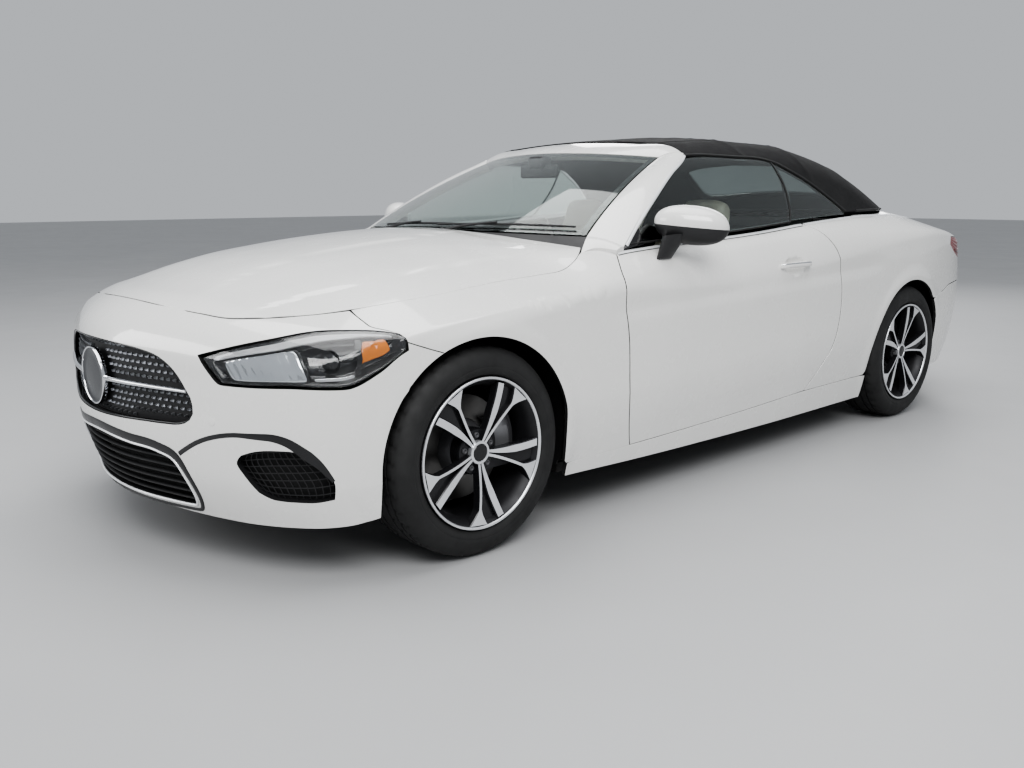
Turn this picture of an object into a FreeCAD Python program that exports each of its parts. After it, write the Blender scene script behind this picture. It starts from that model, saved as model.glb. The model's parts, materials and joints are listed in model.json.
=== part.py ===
import FreeCAD, Part
import math, os

# Four-seat soft-top convertible, roof up. Millimetres, +Z up, front towards -Y, left side towards +X.
# Origin: on the floor, under the middle of the body box.

# ---------------- driving dimensions (mm) ----------------
LENGTH = 4850.0
FRONT_AXLE_Y = -1565.0
REAR_AXLE_Y = 1300.0
WHEEL_X = 800.0            # wheel centre plane
TYRE_R = 340.0
TYRE_W = 236.0
RIM_R = 244.7              # visible edge of the rim
BARREL_IN_R = 212.0
ARCH_R = 375.0             # wheel opening in the body side
LINER_R = 414.0            # wheel housing, inner radius
HOUSING_X = 466.0          # inner wall of the wheel housings
KINGPIN_X = 735.0
SPINDLE_R = 30.0
ROTOR_R = 172.0
FLOOR_Z = 165.0            # underside of the floor
FLOOR_T = 35.0
GAP = 5.0                  # shut gap between panels
HOOD_T = 18.0
DOOR_SKIN_T = 26.0
DOOR_T = 84.0
PANEL_T = 24.0
TOP_T = 22.0               # folded-layer thickness of the soft top
GLASS_T = 5.0
DOOR_HINGE_X, DOOR_HINGE_Y = 926.0, -895.0
COLUMN_TILT = 24.0         # steering column, degrees from level

V = FreeCAD.Vector
os.makedirs("parts", exist_ok=True)

# ---------------- smooth tables (metres) ----------------
class Table:
    def __init__(s, *pts):
        s.x = [p[0] for p in pts]; s.y = [p[1] for p in pts]; n = len(pts)
        h = [s.x[i + 1] - s.x[i] for i in range(n - 1)]
        d = [(s.y[i + 1] - s.y[i]) / h[i] for i in range(n - 1)]
        m = [0.0] * n
        for i in range(1, n - 1):
            if d[i - 1] * d[i] > 0:
                m[i] = (h[i] * d[i - 1] + h[i - 1] * d[i]) / (h[i] + h[i - 1])
                lim = 3 * min(abs(d[i - 1]), abs(d[i]))
                if abs(m[i]) > lim:
                    m[i] = math.copysign(lim, m[i])
        m[0] = 1.5 * d[0] - 0.5 * m[1]
        m[-1] = 1.5 * d[-1] - 0.5 * m[-2]
        s.m = m
    def __call__(s, x):
        n = len(s.x)
        if x <= s.x[0]:
            return s.y[0] + s.m[0] * (x - s.x[0])
        if x >= s.x[-1]:
            return s.y[-1] + s.m[-1] * (x - s.x[-1])
        lo, hi = 0, n - 1
        while hi - lo > 1:
            k = (lo + hi) // 2
            if s.x[k] <= x: lo = k
            else: hi = k
        h = s.x[hi] - s.x[lo]; t = (x - s.x[lo]) / h
        return ((2*t**3 - 3*t*t + 1) * s.y[lo] + (t**3 - 2*t*t + t) * s.m[lo] * h
                + (3*t*t - 2*t**3) * s.y[hi] + (t**3 - t*t) * s.m[hi] * h)

# half width of the body, shoulder crease height, hood/deck edge (x, z), centre line height
W = Table((-2.45,.872),(-2.3,.892),(-2.1,.906),(-1.9,.919),(-1.565,.9295),(-1.2,.9255),(-.9,.9240),(-.3,.9240),(.3,.9250),(.9,.9285),(1.3,.9300),(1.6,.9245),(1.75,.912),(1.9,.892),(2.1,.862),(2.45,.80))
ZC = Table((-2.45,.60),(-2.2,.702),(-2.0,.736),(-1.8,.757),(-1.5,.792),(-1.24,.815),(-.9,.829),(-.7,.840),(-.4,.857),(0,.876),(.32,.890),(.8,.908),(1.13,.925),(1.5,.938),(1.8,.930),(2.1,.887),(2.3,.84),(2.45,.79))
XB = Table((-2.45,.54),(-2.35,.60),(-2.2,.665),(-2.1,.69),(-1.92,.75),(-1.7,.778),(-1.38,.788),(-1.1,.80),(-.95,.812),(-.8,.820),(0,.824),(.6,.822),(1.0,.812),(1.25,.797),(1.45,.783),(1.65,.772),(1.88,.755),(2.1,.72),(2.3,.66),(2.45,.60))
ZB = Table((-2.45,.715),(-2.35,.745),(-2.2,.777),(-2.1,.790),(-1.92,.802),(-1.7,.825),(-1.38,.860),(-1.1,.890),(-.95,.928),(-.85,.945),(-.66,.958),(-.17,.981),(.05,.994),(.37,1.018),(.7,1.037),(1.0,1.050),(1.25,1.050),(1.45,1.033),(1.65,1.006),(1.88,.965),(2.1,.925),(2.3,.885),(2.45,.85))
TC = Table((-2.45,.775),(-2.35,.808),(-2.2,.852),(-2.1,.882),(-1.95,.922),(-1.7,.962),(-1.4,.992),(-1.1,1.006),(-.95,1.008),(-.8,1.008),(-.5,1.012),(0,1.030),(.5,1.055),(1.0,1.080),(1.2,1.082),(1.5,1.066),(1.8,1.038),(2.1,1.000),(2.3,.968),(2.45,.94))
F0 = Table((.10,-2.28),(.17,-2.345),(.20,-2.360),(.25,-2.382),(.30,-2.400),(.40,-2.418),(.50,-2.425),(.60,-2.423),(.70,-2.411),(.75,-2.396),(.80,-2.368),(.90,-2.28),(1.0,-2.15))
FD = Table((0,0),(.1,.005),(.2,.021),(.3,.047),(.4,.077),(.5,.110),(.6,.150),(.7,.203),(.769,.252),(.82,.298),(.854,.338),(.889,.395),(.905,.44),(.92,.51),(.94,.62))
R0 = Table((.10,2.20),(.18,2.27),(.3,2.36),(.4,2.40),(.5,2.419),(.6,2.425),(.7,2.415),(.8,2.396),(.9,2.372),(.95,2.35),(1.0,2.30))
RD = Table((0,0),(.2,.008),(.35,.028),(.5,.068),(.6,.112),(.68,.165),(.74,.222),(.79,.285),(.83,.355),(.865,.445),(.89,.54),(.91,.65))
CR = Table((-2.45,.05),(-1.9,.03),(-1.5,.02),(-.9,.02),(-.5,.05),(0,.08),(.4,.05),(.8,.03),(1.5,.022),(1.9,.03),(2.45,.05))
# soft top: centre line and cross fall
RC = Table((-.60,1.20),(-.42,1.318),(-.30,1.350),(-.22,1.366),(-.1,1.382),(0,1.390),(.25,1.398),(.5,1.3975),(.75,1.383),(.95,1.350),(1.125,1.305),(1.3,1.240),(1.5,1.150),(1.65,1.073),(1.9,.95))
RF = Table((-.6,.060),(0,.075),(.5,.095),(.9,.15),(1.2,.21),(1.6,.26),(1.9,.3))
YF, YR, ZW = FRONT_AXLE_Y / 1000, REAR_AXLE_Y / 1000, TYRE_R / 1000

def rmax(a, b, r):
    u = a + r; v = b + r
    if u <= 0 and v <= 0:
        return max(a, b)
    return math.hypot(max(u, 0), max(v, 0)) - r

def body(x, y, z):
    """signed surface of the painted body: 0 on the skin, negative inside"""
    ax = abs(x); w = W(y); zc = ZC(y); xb = XB(y); zb = ZB(y); tc = TC(y)
    q = z - .62
    side = ax - (w - (.12 if q > 0 else .085) * q * q)
    zl = .36 + .0485 * (y + .9)
    low = (ax - (w - .0085 - (zl - z) * .20)) / 1.02
    s = rmax(side, low, .012)
    for yc in (YF, YR):
        rho = math.hypot(y - yc, z - ZW)
        s -= .006 * math.exp(-((rho - .385) / .035) ** 2)
    k = (w - .003 - xb) / (zb - zc)
    ch = (ax - (w - .004 + (zc - z) * k)) / math.sqrt(1 + k * k)
    g = rmax(s, ch, CR(y))
    T = tc - (tc - zb) * (ax / xb) ** 2
    sl = 2 * (tc - zb) * ax / xb ** 2
    g = rmax(g, (z - T) / math.sqrt(1 + sl * sl), .06)
    e = 1e-4
    dd = (FD(ax + e) - FD(ax)) / e
    g = rmax(g, (F0(z) + FD(ax) - y) / math.sqrt(1 + dd * dd), .10)
    dd = (RD(ax + e) - RD(ax)) / e
    return rmax(g, (y - (R0(z) - RD(ax))) / math.sqrt(1 + dd * dd), .05)

def green(x, y, z):
    """surface of the side glass and the soft top"""
    ax = abs(x); xb = XB(y); dz = z - ZB(y)
    side = (ax - (xb - .004 - .50 * dz - .36 * max(dz, 0) ** 2)) / 1.1662
    c = RF(y)
    top = (z - (RC(y) - c * (ax / .5) ** 2 * .36)) / math.sqrt(1 + (2 * c * .36 * ax / .25) ** 2)
    return rmax(side, top, .09)

# ---------------- points and patches (metres) ----------------
def add(a, b, k=1.0): return (a[0] + b[0] * k, a[1] + b[1] * k, a[2] + b[2] * k)
def dist(a, b): return math.sqrt(sum((a[i] - b[i]) ** 2 for i in range(3)))

def normal(f, p, e=.0015):
    g = [f(*[p[j] + (e if j == i else 0) for j in range(3)]) - f(*[p[j] - (e if j == i else 0) for j in range(3)]) for i in range(3)]
    n = math.sqrt(sum(c * c for c in g)) or 1.0
    return (g[0] / n, g[1] / n, g[2] / n), n / (2 * e)

def snap(f, p, level=0.0, steps=7):
    for _ in range(steps):
        n, m = normal(f, p)
        v = f(*p) - level
        p = add(p, n, -max(-.06, min(.06, v / max(m, .3))))
    return p

def resample(pts, n):
    """n points evenly along a smooth line through pts"""
    m = len(pts)
    if m == 2:
        return [tuple(pts[0][k] + (pts[1][k] - pts[0][k]) * i / (n - 1) for k in range(3)) for i in range(n)]
    L = [0.0]
    for i in range(1, m):
        L.append(L[-1] + dist(pts[i], pts[i - 1]))
    T = [Table(*[(L[i], pts[i][k]) for i in range(m)]) for k in range(3)]
    return [tuple(T[k](L[-1] * i / (n - 1)) for k in range(3)) for i in range(n)]

def at(line, t):
    t = max(0, min(1, t)) * (len(line) - 1); i = min(int(t), len(line) - 2); s = t - i
    return tuple(line[i][k] + (line[i + 1][k] - line[i][k]) * s for k in range(3))

def coons(b, t, l, r, us, vs):
    """grid of points between four border lines; b, t run left to right, l, r run bottom to top"""
    N = 161
    B, T_, L, R = resample(b, N), resample(t, N), resample(l, N), resample(r, N)
    out = []
    for u in us:
        col = []
        for v in vs:
            pb, pt, pl, pr = at(B, u), at(T_, u), at(L, v), at(R, v)
            c00, c10, c01, c11 = B[0], B[-1], T_[0], T_[-1]
            col.append(tuple((1 - v) * pb[k] + v * pt[k] + (1 - u) * pl[k] + u * pr[k]
                             - ((1 - u) * (1 - v) * c00[k] + u * (1 - v) * c10[k] + (1 - u) * v * c01[k] + u * v * c11[k])
                             for k in range(3)))
        out.append(col)
    return out

def length(pts): return sum(dist(pts[i], pts[i + 1]) for i in range(len(pts) - 1))

def grid(f, b, t, l, r, nu, nv, inset=0.0, out=0.0):
    """border lines -> grid on the surface f, drawn in by inset (one number or left, right, bottom, top)"""
    if not isinstance(inset, tuple): inset = (inset,) * 4
    lu = .5 * (length(b) + length(t)); lv = .5 * (length(l) + length(r))
    u0, u1 = inset[0] / lu, 1 - inset[1] / lu; v0, v1 = inset[2] / lv, 1 - inset[3] / lv
    g = coons(b, t, l, r, [u0 + (u1 - u0) * i / (nu - 1) for i in range(nu)], [v0 + (v1 - v0) * j / (nv - 1) for j in range(nv)])
    res = []
    for col in g:
        c = []
        for p in col:
            if f is not None:
                p = snap(f, p)
                if out: p = add(p, normal(f, p)[0], out)
            c.append(p)
        res.append(c)
    return res

def shift(f, g, d):
    return [[add(p, normal(f, p, .006)[0], d) for p in col] for col in g]

def vec(p): return V(p[0] * 1000, p[1] * 1000, p[2] * 1000)

def surface(g):
    s = Part.BSplineSurface()
    s.interpolate([[vec(p) for p in col] for col in g])
    return s

def solid_from(faces):
    sh = Part.makeShell(faces)
    sh.sewShape()
    if sh.ShapeType != "Shell": sh = sh.Shells[0]
    s = Part.makeSolid(sh)
    if s.Volume < 0: s.reverse()
    return s

def brick(P, Q):
    """closed solid between two grids of the same size"""
    so, si = surface(P), surface(Q)
    u0, u1, v0, v1 = so.bounds(); a0, a1, b0, b1 = si.bounds()
    pairs = [(so.uIso(u0), si.uIso(a0)), (so.uIso(u1), si.uIso(a1)), (so.vIso(v0), si.vIso(b0)), (so.vIso(v1), si.vIso(b1))]
    faces = [so.toShape(), si.toShape()]
    for c, d in pairs:
        faces.append(Part.makeRuledSurface(c.toShape(), d.toShape()))
    return solid_from(faces)

def slab(f, b, t, l, r, nu, nv, thick, inset=0.0, out=0.0):
    P = grid(f, b, t, l, r, nu, nv, inset, out)
    return brick(P, shift(f, P, -thick))

def flip(pts): return [(-p[0], p[1], p[2]) for p in pts]
def mirror(s): return s.mirror(V(0, 0, 0), V(1, 0, 0))
def box(x0, x1, y0, y1, z0, z1): return Part.makeBox(x1 - x0, y1 - y0, z1 - z0, V(x0, y0, z0))
def cyl_x(r, x0, x1, y, z): return Part.makeCylinder(r, x1 - x0, V(x0, y, z), V(1, 0, 0))
def join(*ss):
    s = ss[0]
    for o in ss[1:]: s = s.fuse(o)
    try: s = s.removeSplitter()
    except Exception: pass
    return s

nodes = {}
def keep(name, *solids):
    flat = []
    for s in solids: flat += s.Solids
    nodes[name] = flat[0] if len(flat) == 1 else Part.makeCompound(flat)

# ---------------- panel borders (metres, left side) ----------------
DOOR_FRONT = [(.889,-.835,.232),(.905,-.862,.33),(.922,-.878,.46),(.924,-.888,.62),(.922,-.905,.78),(.89,-.893,.865),(.822,-.845,.945)]
DOOR_REAR = [(.886,.372,.262),(.898,.440,.327),(.909,.493,.385),(.919,.540,.445),(.926,.570,.530),(.926,.587,.664),(.924,.578,.769),(.919,.563,.853),(.903,.539,.904),(.866,.478,.967),(.822,.400,1.019)]
DOOR_BOTTOM = [(.889,-.835,.232),(.886,-.419,.237),(.885,.073,.250),(.886,.372,.262)]
DOOR_BELT = [(.822,-.845,.945),(.820,-.66,.958),(.823,-.17,.981),(.824,.05,.994),(.822,.400,1.019)]

HOOD_FRONT = [(-.60,-2.125,.787),(-.527,-2.192,.787),(-.41,-2.238,.795),(-.257,-2.272,.803),(0,-2.292,.808),(.257,-2.272,.803),(.41,-2.238,.795),(.527,-2.192,.787),(.60,-2.125,.787)]
HOOD_SIDE = [(.60,-2.125,.787),(.66,-2.02,.797),(.696,-1.904,.804),(.736,-1.671,.825),(.752,-1.353,.857),(.765,-1.182,.870),(.780,-1.088,.881),(.767,-1.012,.911),(.717,-.930,.951)]
HOOD_REAR = [(-.717,-.930,.951),(-.45,-1.010,.990),(0,-1.085,1.006),(.45,-1.010,.990),(.717,-.930,.951)]

FENDER_BOTTOM = [(.912,-1.835,.60),(.925,-1.75,.50),(.93,-1.565,.40),(.925,-1.36,.30),(.905,-1.19,.232),(.890,-1.0,.230),(.889,-.840,.230)]
FENDER_FRONT = [(.912,-1.835,.60),(.908,-1.832,.66),(.899,-1.832,.724),(.855,-1.868,.752),(.80,-1.905,.768),(.75,-1.905,.786),(.702,-1.900,.804)]
FENDER_TOP = [(.702,-1.900,.804),(.736,-1.671,.825),(.752,-1.353,.857),(.765,-1.182,.870),(.780,-1.088,.881),(.767,-1.012,.911),(.745,-.955,.937),(.770,-.895,.955),(.822,-.851,.944)]
BUMPER_BOTTOM = [(-.885,-1.935,.205),(-.845,-1.995,.195),(-.80,-2.072,.190),(-.70,-2.15,.185),(-.573,-2.212,.182),(-.418,-2.268,.182),(-.2,-2.335,.187),(0,-2.352,.188)]
BUMPER_SIDE = [(.885,-1.935,.205),(.905,-1.905,.40),(.912,-1.84,.58),(.908,-1.832,.66),(.899,-1.832,.724),(.855,-1.868,.752),(.80,-1.905,.768),(.75,-1.905,.786),(.702,-1.900,.804)]
SILL_TOP = [(.889,-1.172,.232),(.889,-.835,.231),(.886,-.419,.236),(.885,.073,.249),(.886,.372,.260),(.888,.93,.262)]
SILL_LOW = [(.872,-1.172,.185),(.868,-.83,.170),(.862,-.26,.155),(.860,.30,.148),(.860,.93,.150)]

LAMP_TOP = [(.526,-2.295,.684),(.600,-2.25,.712),(.677,-2.178,.733),(.77,-2.017,.757),(.849,-1.890,.750),(.887,-1.846,.738)]
LAMP_BOTTOM = [(.601,-2.272,.615),(.684,-2.229,.613),(.782,-2.16,.615),(.867,-2.037,.608),(.888,-1.94,.643),(.899,-1.845,.703)]
LAMP_IN = [(.601,-2.272,.615),(.566,-2.285,.648),(.526,-2.295,.684)]
LAMP_OUT = [(.899,-1.845,.703),(.894,-1.843,.720),(.887,-1.846,.738)]
GRILLE = [(0,.700),(.10,.699),(.19,.696),(.28,.689),(.365,.672),(.43,.635),(.47,.590),(.494,.552),(.496,.522),(.478,.494),(.443,.479),(.38,.473),(.30,.470),(.15,.465),(0,.462)]
INTAKE = [(0,.400),(.2,.388),(.33,.377),(.385,.360),(.415,.31),(.425,.255),(.410,.216),(.2,.212),(0,.212)]
VENT_IN = [(.672,-2.215,.298),(.642,-2.24,.347),(.625,-2.254,.384),(.642,-2.249,.409)]
VENT_TOP = [(.642,-2.249,.409),(.689,-2.225,.426),(.767,-2.171,.432),(.801,-2.142,.425)]
VENT_OUT = [(.838,-2.065,.283),(.845,-2.066,.326),(.830,-2.104,.387),(.801,-2.142,.425)]
VENT_LOW = [(.672,-2.215,.298),(.712,-2.182,.277),(.787,-2.126,.274),(.838,-2.065,.283)]

QUARTER_BOTTOM = [(.886,.376,.264),(.888,.93,.266),(.92,1.3,.42),(.912,1.66,.60),(.885,1.82,.655),(.83,2.05,.662),(.74,2.2,.658),(.60,2.31,.648),(.505,2.365,.642)]
LID_SIDE = [(.565,1.722,1.018),(.585,1.90,.998),(.590,2.10,.96),(.575,2.25,.925),(.560,2.30,.88),(.548,2.345,.80),(.535,2.36,.70),(.505,2.365,.642)]
LID_FRONT = [(-.565,1.722,1.018),(-.3,1.742,1.04),(0,1.750,1.046),(.3,1.742,1.04),(.565,1.722,1.018)]
LID_REAR = [(-.505,2.365,.642),(-.25,2.41,.632),(0,2.42,.630),(.25,2.41,.632),(.505,2.365,.642)]
QUARTER_TOP = [(.822,.402,1.019),(.818,.7,1.037),(.812,1.0,1.050),(.797,1.25,1.050),(.783,1.45,1.033),(.715,1.62,1.026),(.64,1.695,1.018),(.565,1.722,1.018)]
REAR_SEAM = [(.912,1.66,.60),(.885,1.82,.652),(.83,2.05,.659),(.74,2.2,.655),(.60,2.31,.645),(.505,2.365,.639),(.25,2.41,.628),(0,2.42,.626)]
REAR_LOW = [(.885,1.70,.21),(.86,1.9,.20),(.80,2.08,.19),(.68,2.2,.185),(.5,2.27,.18),(.25,2.31,.18),(0,2.32,.18)]
REAR_SIDE = [(.885,1.70,.21),(.912,1.70,.40),(.912,1.66,.60)]
TAIL_TOP = [(.572,2.295,.872),(.62,2.27,.880),(.72,2.17,.893),(.80,2.06,.903),(.86,1.92,.910),(.886,1.80,.912)]
TAIL_LOW = [(.588,2.315,.755),(.63,2.30,.755),(.74,2.2,.762),(.82,2.06,.775),(.876,1.92,.812),(.900,1.795,.868)]

# windscreen: base and top edge, half width, bow
def screen(u, v):
    x = (.690 * (1 - v) + .543 * v) * u
    y = (-1.06 + .187 * u * u) * (1 - v) + (-.42 + .133 * u * u) * v - .08 * v * (1 - v)
    z = (1.0 - .013 * u * u) * (1 - v) + (1.313 - .027 * u * u) * v + .048 * v * (1 - v)
    return (x, y, z)

GLASS_FRONT = [(.809,-.775,.958),(.771,-.662,1.036),(.73,-.528,1.123),(.669,-.350,1.224),(.622,-.218,1.283)]
GLASS_TOP = [(.622,-.218,1.283),(.619,-.108,1.291),(.638,.117,1.289),(.652,.304,1.284),(.660,.352,1.278)]
GLASS_REAR = [(.818,.292,1.020),(.769,.343,1.11),(.721,.362,1.193),(.660,.352,1.278)]
GLASS_LOW = [(.809,-.775,.958),(.815,-.644,.966),(.816,-.15,.988),(.816,.067,1.002),(.818,.292,1.020)]
QW_FRONT = [(.818,.300,1.0215),(.769,.351,1.11),(.721,.370,1.193),(.664,.361,1.274)]
QW_TOP = [(.664,.361,1.274),(.700,.468,1.230),(.728,.555,1.190),(.765,.650,1.132),(.793,.720,1.084),(.806,.752,1.058)]
QW_TIP = [(.812,.765,1.044),(.810,.760,1.050),(.806,.752,1.058)]
QW_LOW = [(.818,.300,1.0215),(.818,.5,1.032),(.812,.765,1.044)]
TOP_SIDE = [(.615,-.205,1.302),(.620,-.108,1.306),(.640,.117,1.303),(.655,.304,1.297),(.672,.375,1.284),(.708,.480,1.240),(.737,.566,1.199),(.774,.662,1.141),(.800,.735,1.092),(.812,.785,1.056)]
TOP_FRONT = [(-.615,-.205,1.302),(-.56,-.195,1.330),(-.35,-.198,1.352),(0,-.212,1.366),(.35,-.198,1.352),(.56,-.195,1.330),(.615,-.205,1.302)]

def base_point(th, z, out=0.0):
    """foot of the soft top at angle th from straight back, seen from (0, .9)"""
    a, b = 0.0, 1.2
    s, c = math.sin(th), math.cos(th)
    for _ in range(40):
        m = (a + b) / 2
        if green(m * s, .9 + m * c, z) < 0: a = m
        else: b = m
    return ((a + out) * s, .9 + (a + out) * c, z)
TIP = math.radians(98)
TOP_REAR = [base_point(TIP * i / 14, 1.056 + .012 * math.cos(TIP * i / 14)) for i in range(-14, 15)]
TOP_REAR[0] = (-.812, .785, 1.056); TOP_REAR[-1] = (.812, .785, 1.056)
RW_TOP = [(-.36,1.065,1.30),(0,1.095,1.32),(.36,1.065,1.30)]
RW_LOW = [(-.43,1.375,1.15),(0,1.475,1.17),(.43,1.375,1.15)]
RW_SIDE = [(.43,1.375,1.15),(.36,1.065,1.30)]

both = lambda s: (s, mirror(s))
def across(pts):
    """left border that starts or ends on the centre line -> whole border from right to left"""
    if abs(pts[-1][0]) < 1e-6: pts = pts[::-1]
    pts = [p if p[0] >= 0 else (-p[0], p[1], p[2]) for p in pts]
    return [(-p[0], p[1], p[2]) for p in pts[::-1]][:-1] + pts

# ---------------- doors ----------------
def shift_x(g, d): return [[(p[0] - d, p[1], p[2]) for p in col] for col in g]
P = grid(body, DOOR_BOTTOM, DOOR_BELT, DOOR_FRONT, DOOR_REAR, 17, 15, (.0025, .0052, .0025, .0005))
skin = brick(P, shift(body, P, -DOOR_SKIN_T / 1000))
P = grid(body, DOOR_BOTTOM, DOOR_BELT, DOOR_FRONT, DOOR_REAR, 13, 11, (.034, .052, .030, .0012))
inner = brick(shift_x(P, .016), shift_x(P, DOOR_T / 1000))
door = join(skin, inner)
keep("door_left", door); keep("door_right", mirror(door))
g = slab(green, GLASS_LOW, GLASS_TOP, GLASS_FRONT, GLASS_REAR, 13, 9, GLASS_T / 1000, (.002, .003, .003, .002), -.001)
keep("door_glass_left", g); keep("door_glass_right", mirror(g))

# door mirrors: foot on the door below the belt, arm and housing
def ellipsoid(c, r, turn=0.0):
    s = Part.makeSphere(1.0)
    m = FreeCAD.Matrix(); m.scale(*r)
    s = s.transformGeometry(m)
    s.rotate(V(0, 0, 0), V(0, 0, 1), turn); s.translate(V(*c))
    return s
def prism(points, direction):
    w = Part.makePolygon([V(*p) for p in points] + [V(*points[0])])
    return Part.Face(w).extrude(V(*direction))
shell = ellipsoid((918, -548, 1030), (140, 62, 68), 47)
arm = prism([(858, -735, 893), (905, -735, 900), (958, -735, 1000), (880, -735, 1010), (846, -735, 935)], (0, 150, 0))
arm = arm.cut(box(800, 1000, -640, -500, 850, 960))
mir = join(shell, arm.cut(door).cut(g))
keep("mirror_left", mir); keep("mirror_right", mirror(mir))

# ---------------- hood and boot lid ----------------
hood = slab(body, HOOD_FRONT, HOOD_REAR, flip(HOOD_SIDE), HOOD_SIDE, 25, 17, HOOD_T / 1000, .0025)
keep("hood", hood)
lid = slab(body, LID_FRONT, LID_REAR, flip(LID_SIDE), LID_SIDE, 17, 21, .026, .0025)
keep("boot_lid", lid)

# ---------------- openings in the skin and the pieces set in them ----------------
def slanted_prism(loop, d, back, depth):
    """closed outline in space, flattened along the direction d and drawn out both ways"""
    n = math.sqrt(sum(c * c for c in d)); d = [c / n for c in d]
    c = [sum(p[k] for p in loop) / len(loop) for k in range(3)]
    flat = []
    for p in loop:
        t = sum((p[k] - c[k]) * d[k] for k in range(3)) + back
        flat.append(tuple((p[k] - t * d[k]) * 1000 for k in range(3)))
    return prism(flat, tuple(x * 1000 * depth for x in d))
def opening(borders, d, back, depth):
    """cutter for the opening inside four border lines (bottom, top, left, right), drawn through the skin along d"""
    g = grid(body, *borders, 15, 5)
    return slanted_prism([c[0] for c in g] + g[-1][1:-1] + [c[-1] for c in g[::-1]] + g[0][1:-1][::-1], d, back, depth)
def insert(borders, d, nu, nv, inset, out, thick):
    P = grid(body, *borders, nu, nv, inset, out)
    return brick(P, [[add(p, d, -thick) for p in col] for col in P])
VENT = (VENT_LOW, VENT_TOP, VENT_IN, VENT_OUT); VENT_DIR = (.55, -.83, 0)

# ---------------- front end ----------------
def arch_prism(y):
    """wheel opening on the left side: half round above the axle, straight down below it"""
    a, b, c = V(500, y - ARCH_R, TYRE_R), V(500, y, TYRE_R + ARCH_R), V(500, y + ARCH_R, TYRE_R)
    d, e = V(500, y + ARCH_R, -50), V(500, y - ARCH_R, -50)
    w = Part.Wire([Part.Arc(a, b, c).toShape(), Part.makeLine(c, d), Part.makeLine(d, e), Part.makeLine(e, a)])
    return Part.Face(w).extrude(V(500, 0, 0))
arches = [arch_prism(FRONT_AXLE_Y), arch_prism(REAR_AXLE_Y)]
def open_arches(s):
    bb = s.BoundBox
    for c in arches:
        if bb.YMin < c.BoundBox.YMax and bb.YMax > c.BoundBox.YMin:
            s = s.cut(c)
            if bb.XMin < -100: s = s.cut(mirror(c))
    return s

FENDER_REAR = [(.889,-.840,.230),(.905,-.868,.33),(.922,-.884,.46),(.924,-.894,.62),(.922,-.911,.78),(.89,-.899,.865),(.822,-.851,.944)]
fender = slab(body, FENDER_BOTTOM, FENDER_TOP, FENDER_FRONT, FENDER_REAR, 25, 15, .020, (.0025, .0005, .001, .0045))
fender = open_arches(fender)
keep("front_fenders", *both(fender))

# front bumper: the nose below the headlights, and a strip above each headlight up to the hood and fender seams
NOSE_TOP = [(0,-2.298,.810),(.20,-2.287,.807),(.36,-2.258,.800),(.43,-2.262,.780),(.475,-2.283,.740),(.510,-2.300,.690),(.550,-2.293,.645),(.597,-2.277,.609),(.684,-2.232,.608),(.784,-2.163,.610),(.870,-2.037,.603),(.891,-1.94,.638),(.902,-1.865,.685),(.905,-1.838,.698)]
NOSE_ARCH = [(.885,-1.935,.205),(.905,-1.905,.40),(.912,-1.845,.58),(.905,-1.838,.698)]
STRIP_IN = [(.516,-2.299,.694),(.481,-2.281,.743),(.436,-2.260,.783),(.370,-2.255,.801)]
STRIP_LOW = [(.516,-2.299,.694),(.600,-2.248,.717),(.677,-2.176,.738),(.77,-2.015,.762),(.849,-1.887,.755),(.887,-1.845,.743)]
STRIP_TOP = [(.370,-2.255,.801),(.414,-2.244,.797),(.533,-2.198,.788),(.607,-2.130,.787),(.667,-2.022,.797),(.706,-1.910,.803)]
STRIP_OUT = [(.887,-1.845,.743),(.855,-1.874,.752),(.80,-1.911,.768),(.75,-1.911,.786),(.706,-1.910,.803)]
def front_y(x, z, q=0.0):
    a, b = -2.7, -1.9
    for _ in range(40):
        m = (a + b) / 2
        if body(x, m, z) > 0: a = m
        else: b = m
    return (a + b) / 2 + q
MIDLINE = [(0, front_y(0, z), z) for z in (.188, .25, .32, .40, .48, .56, .64, .70, .75, .79)] + [(0, -2.298, .810)]
P = grid(body, [(-q[0], q[1], q[2]) for q in BUMPER_BOTTOM[::-1]], NOSE_TOP, MIDLINE, NOSE_ARCH, 31, 15)
level = lambda g: [[(0.0 if i == 0 else q[0], q[1], q[2]) for q in col] for i, col in enumerate(g)]
bumper = open_arches(brick(level(P), level(shift(body, P, -PANEL_T / 1000))))
strip = slab(body, STRIP_LOW, STRIP_TOP, STRIP_IN, STRIP_OUT, 17, 7, .018)
def outline(pts, k=0.0):
    """closed front-view outline from its left half, drawn in by k metres"""
    full = [(-p[0], p[1]) for p in pts[::-1]][:-1] + pts[:-1]
    cx = 0; cz = sum(p[1] for p in full) / len(full)
    zs = [p[1] for p in full]; xs = [abs(p[0]) for p in full]
    fx = 1 - k / max(xs); fz = 1 - 2 * k / (max(zs) - min(zs))
    return [(p[0] * fx * 1000, -2700, (cz + (p[1] - cz) * fz) * 1000) for p in full]
grille_cut = prism(outline(GRILLE), (0, 560, 0)); intake_cut = prism(outline(INTAKE), (0, 560, 0))
bumper = bumper.cut(grille_cut).cut(intake_cut)
vent_cut = opening(VENT, VENT_DIR, .12, .30)
bumper = bumper.cut(vent_cut)
keep("front_bumper", bumper.fuse(mirror(bumper)), *both(strip))

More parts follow.
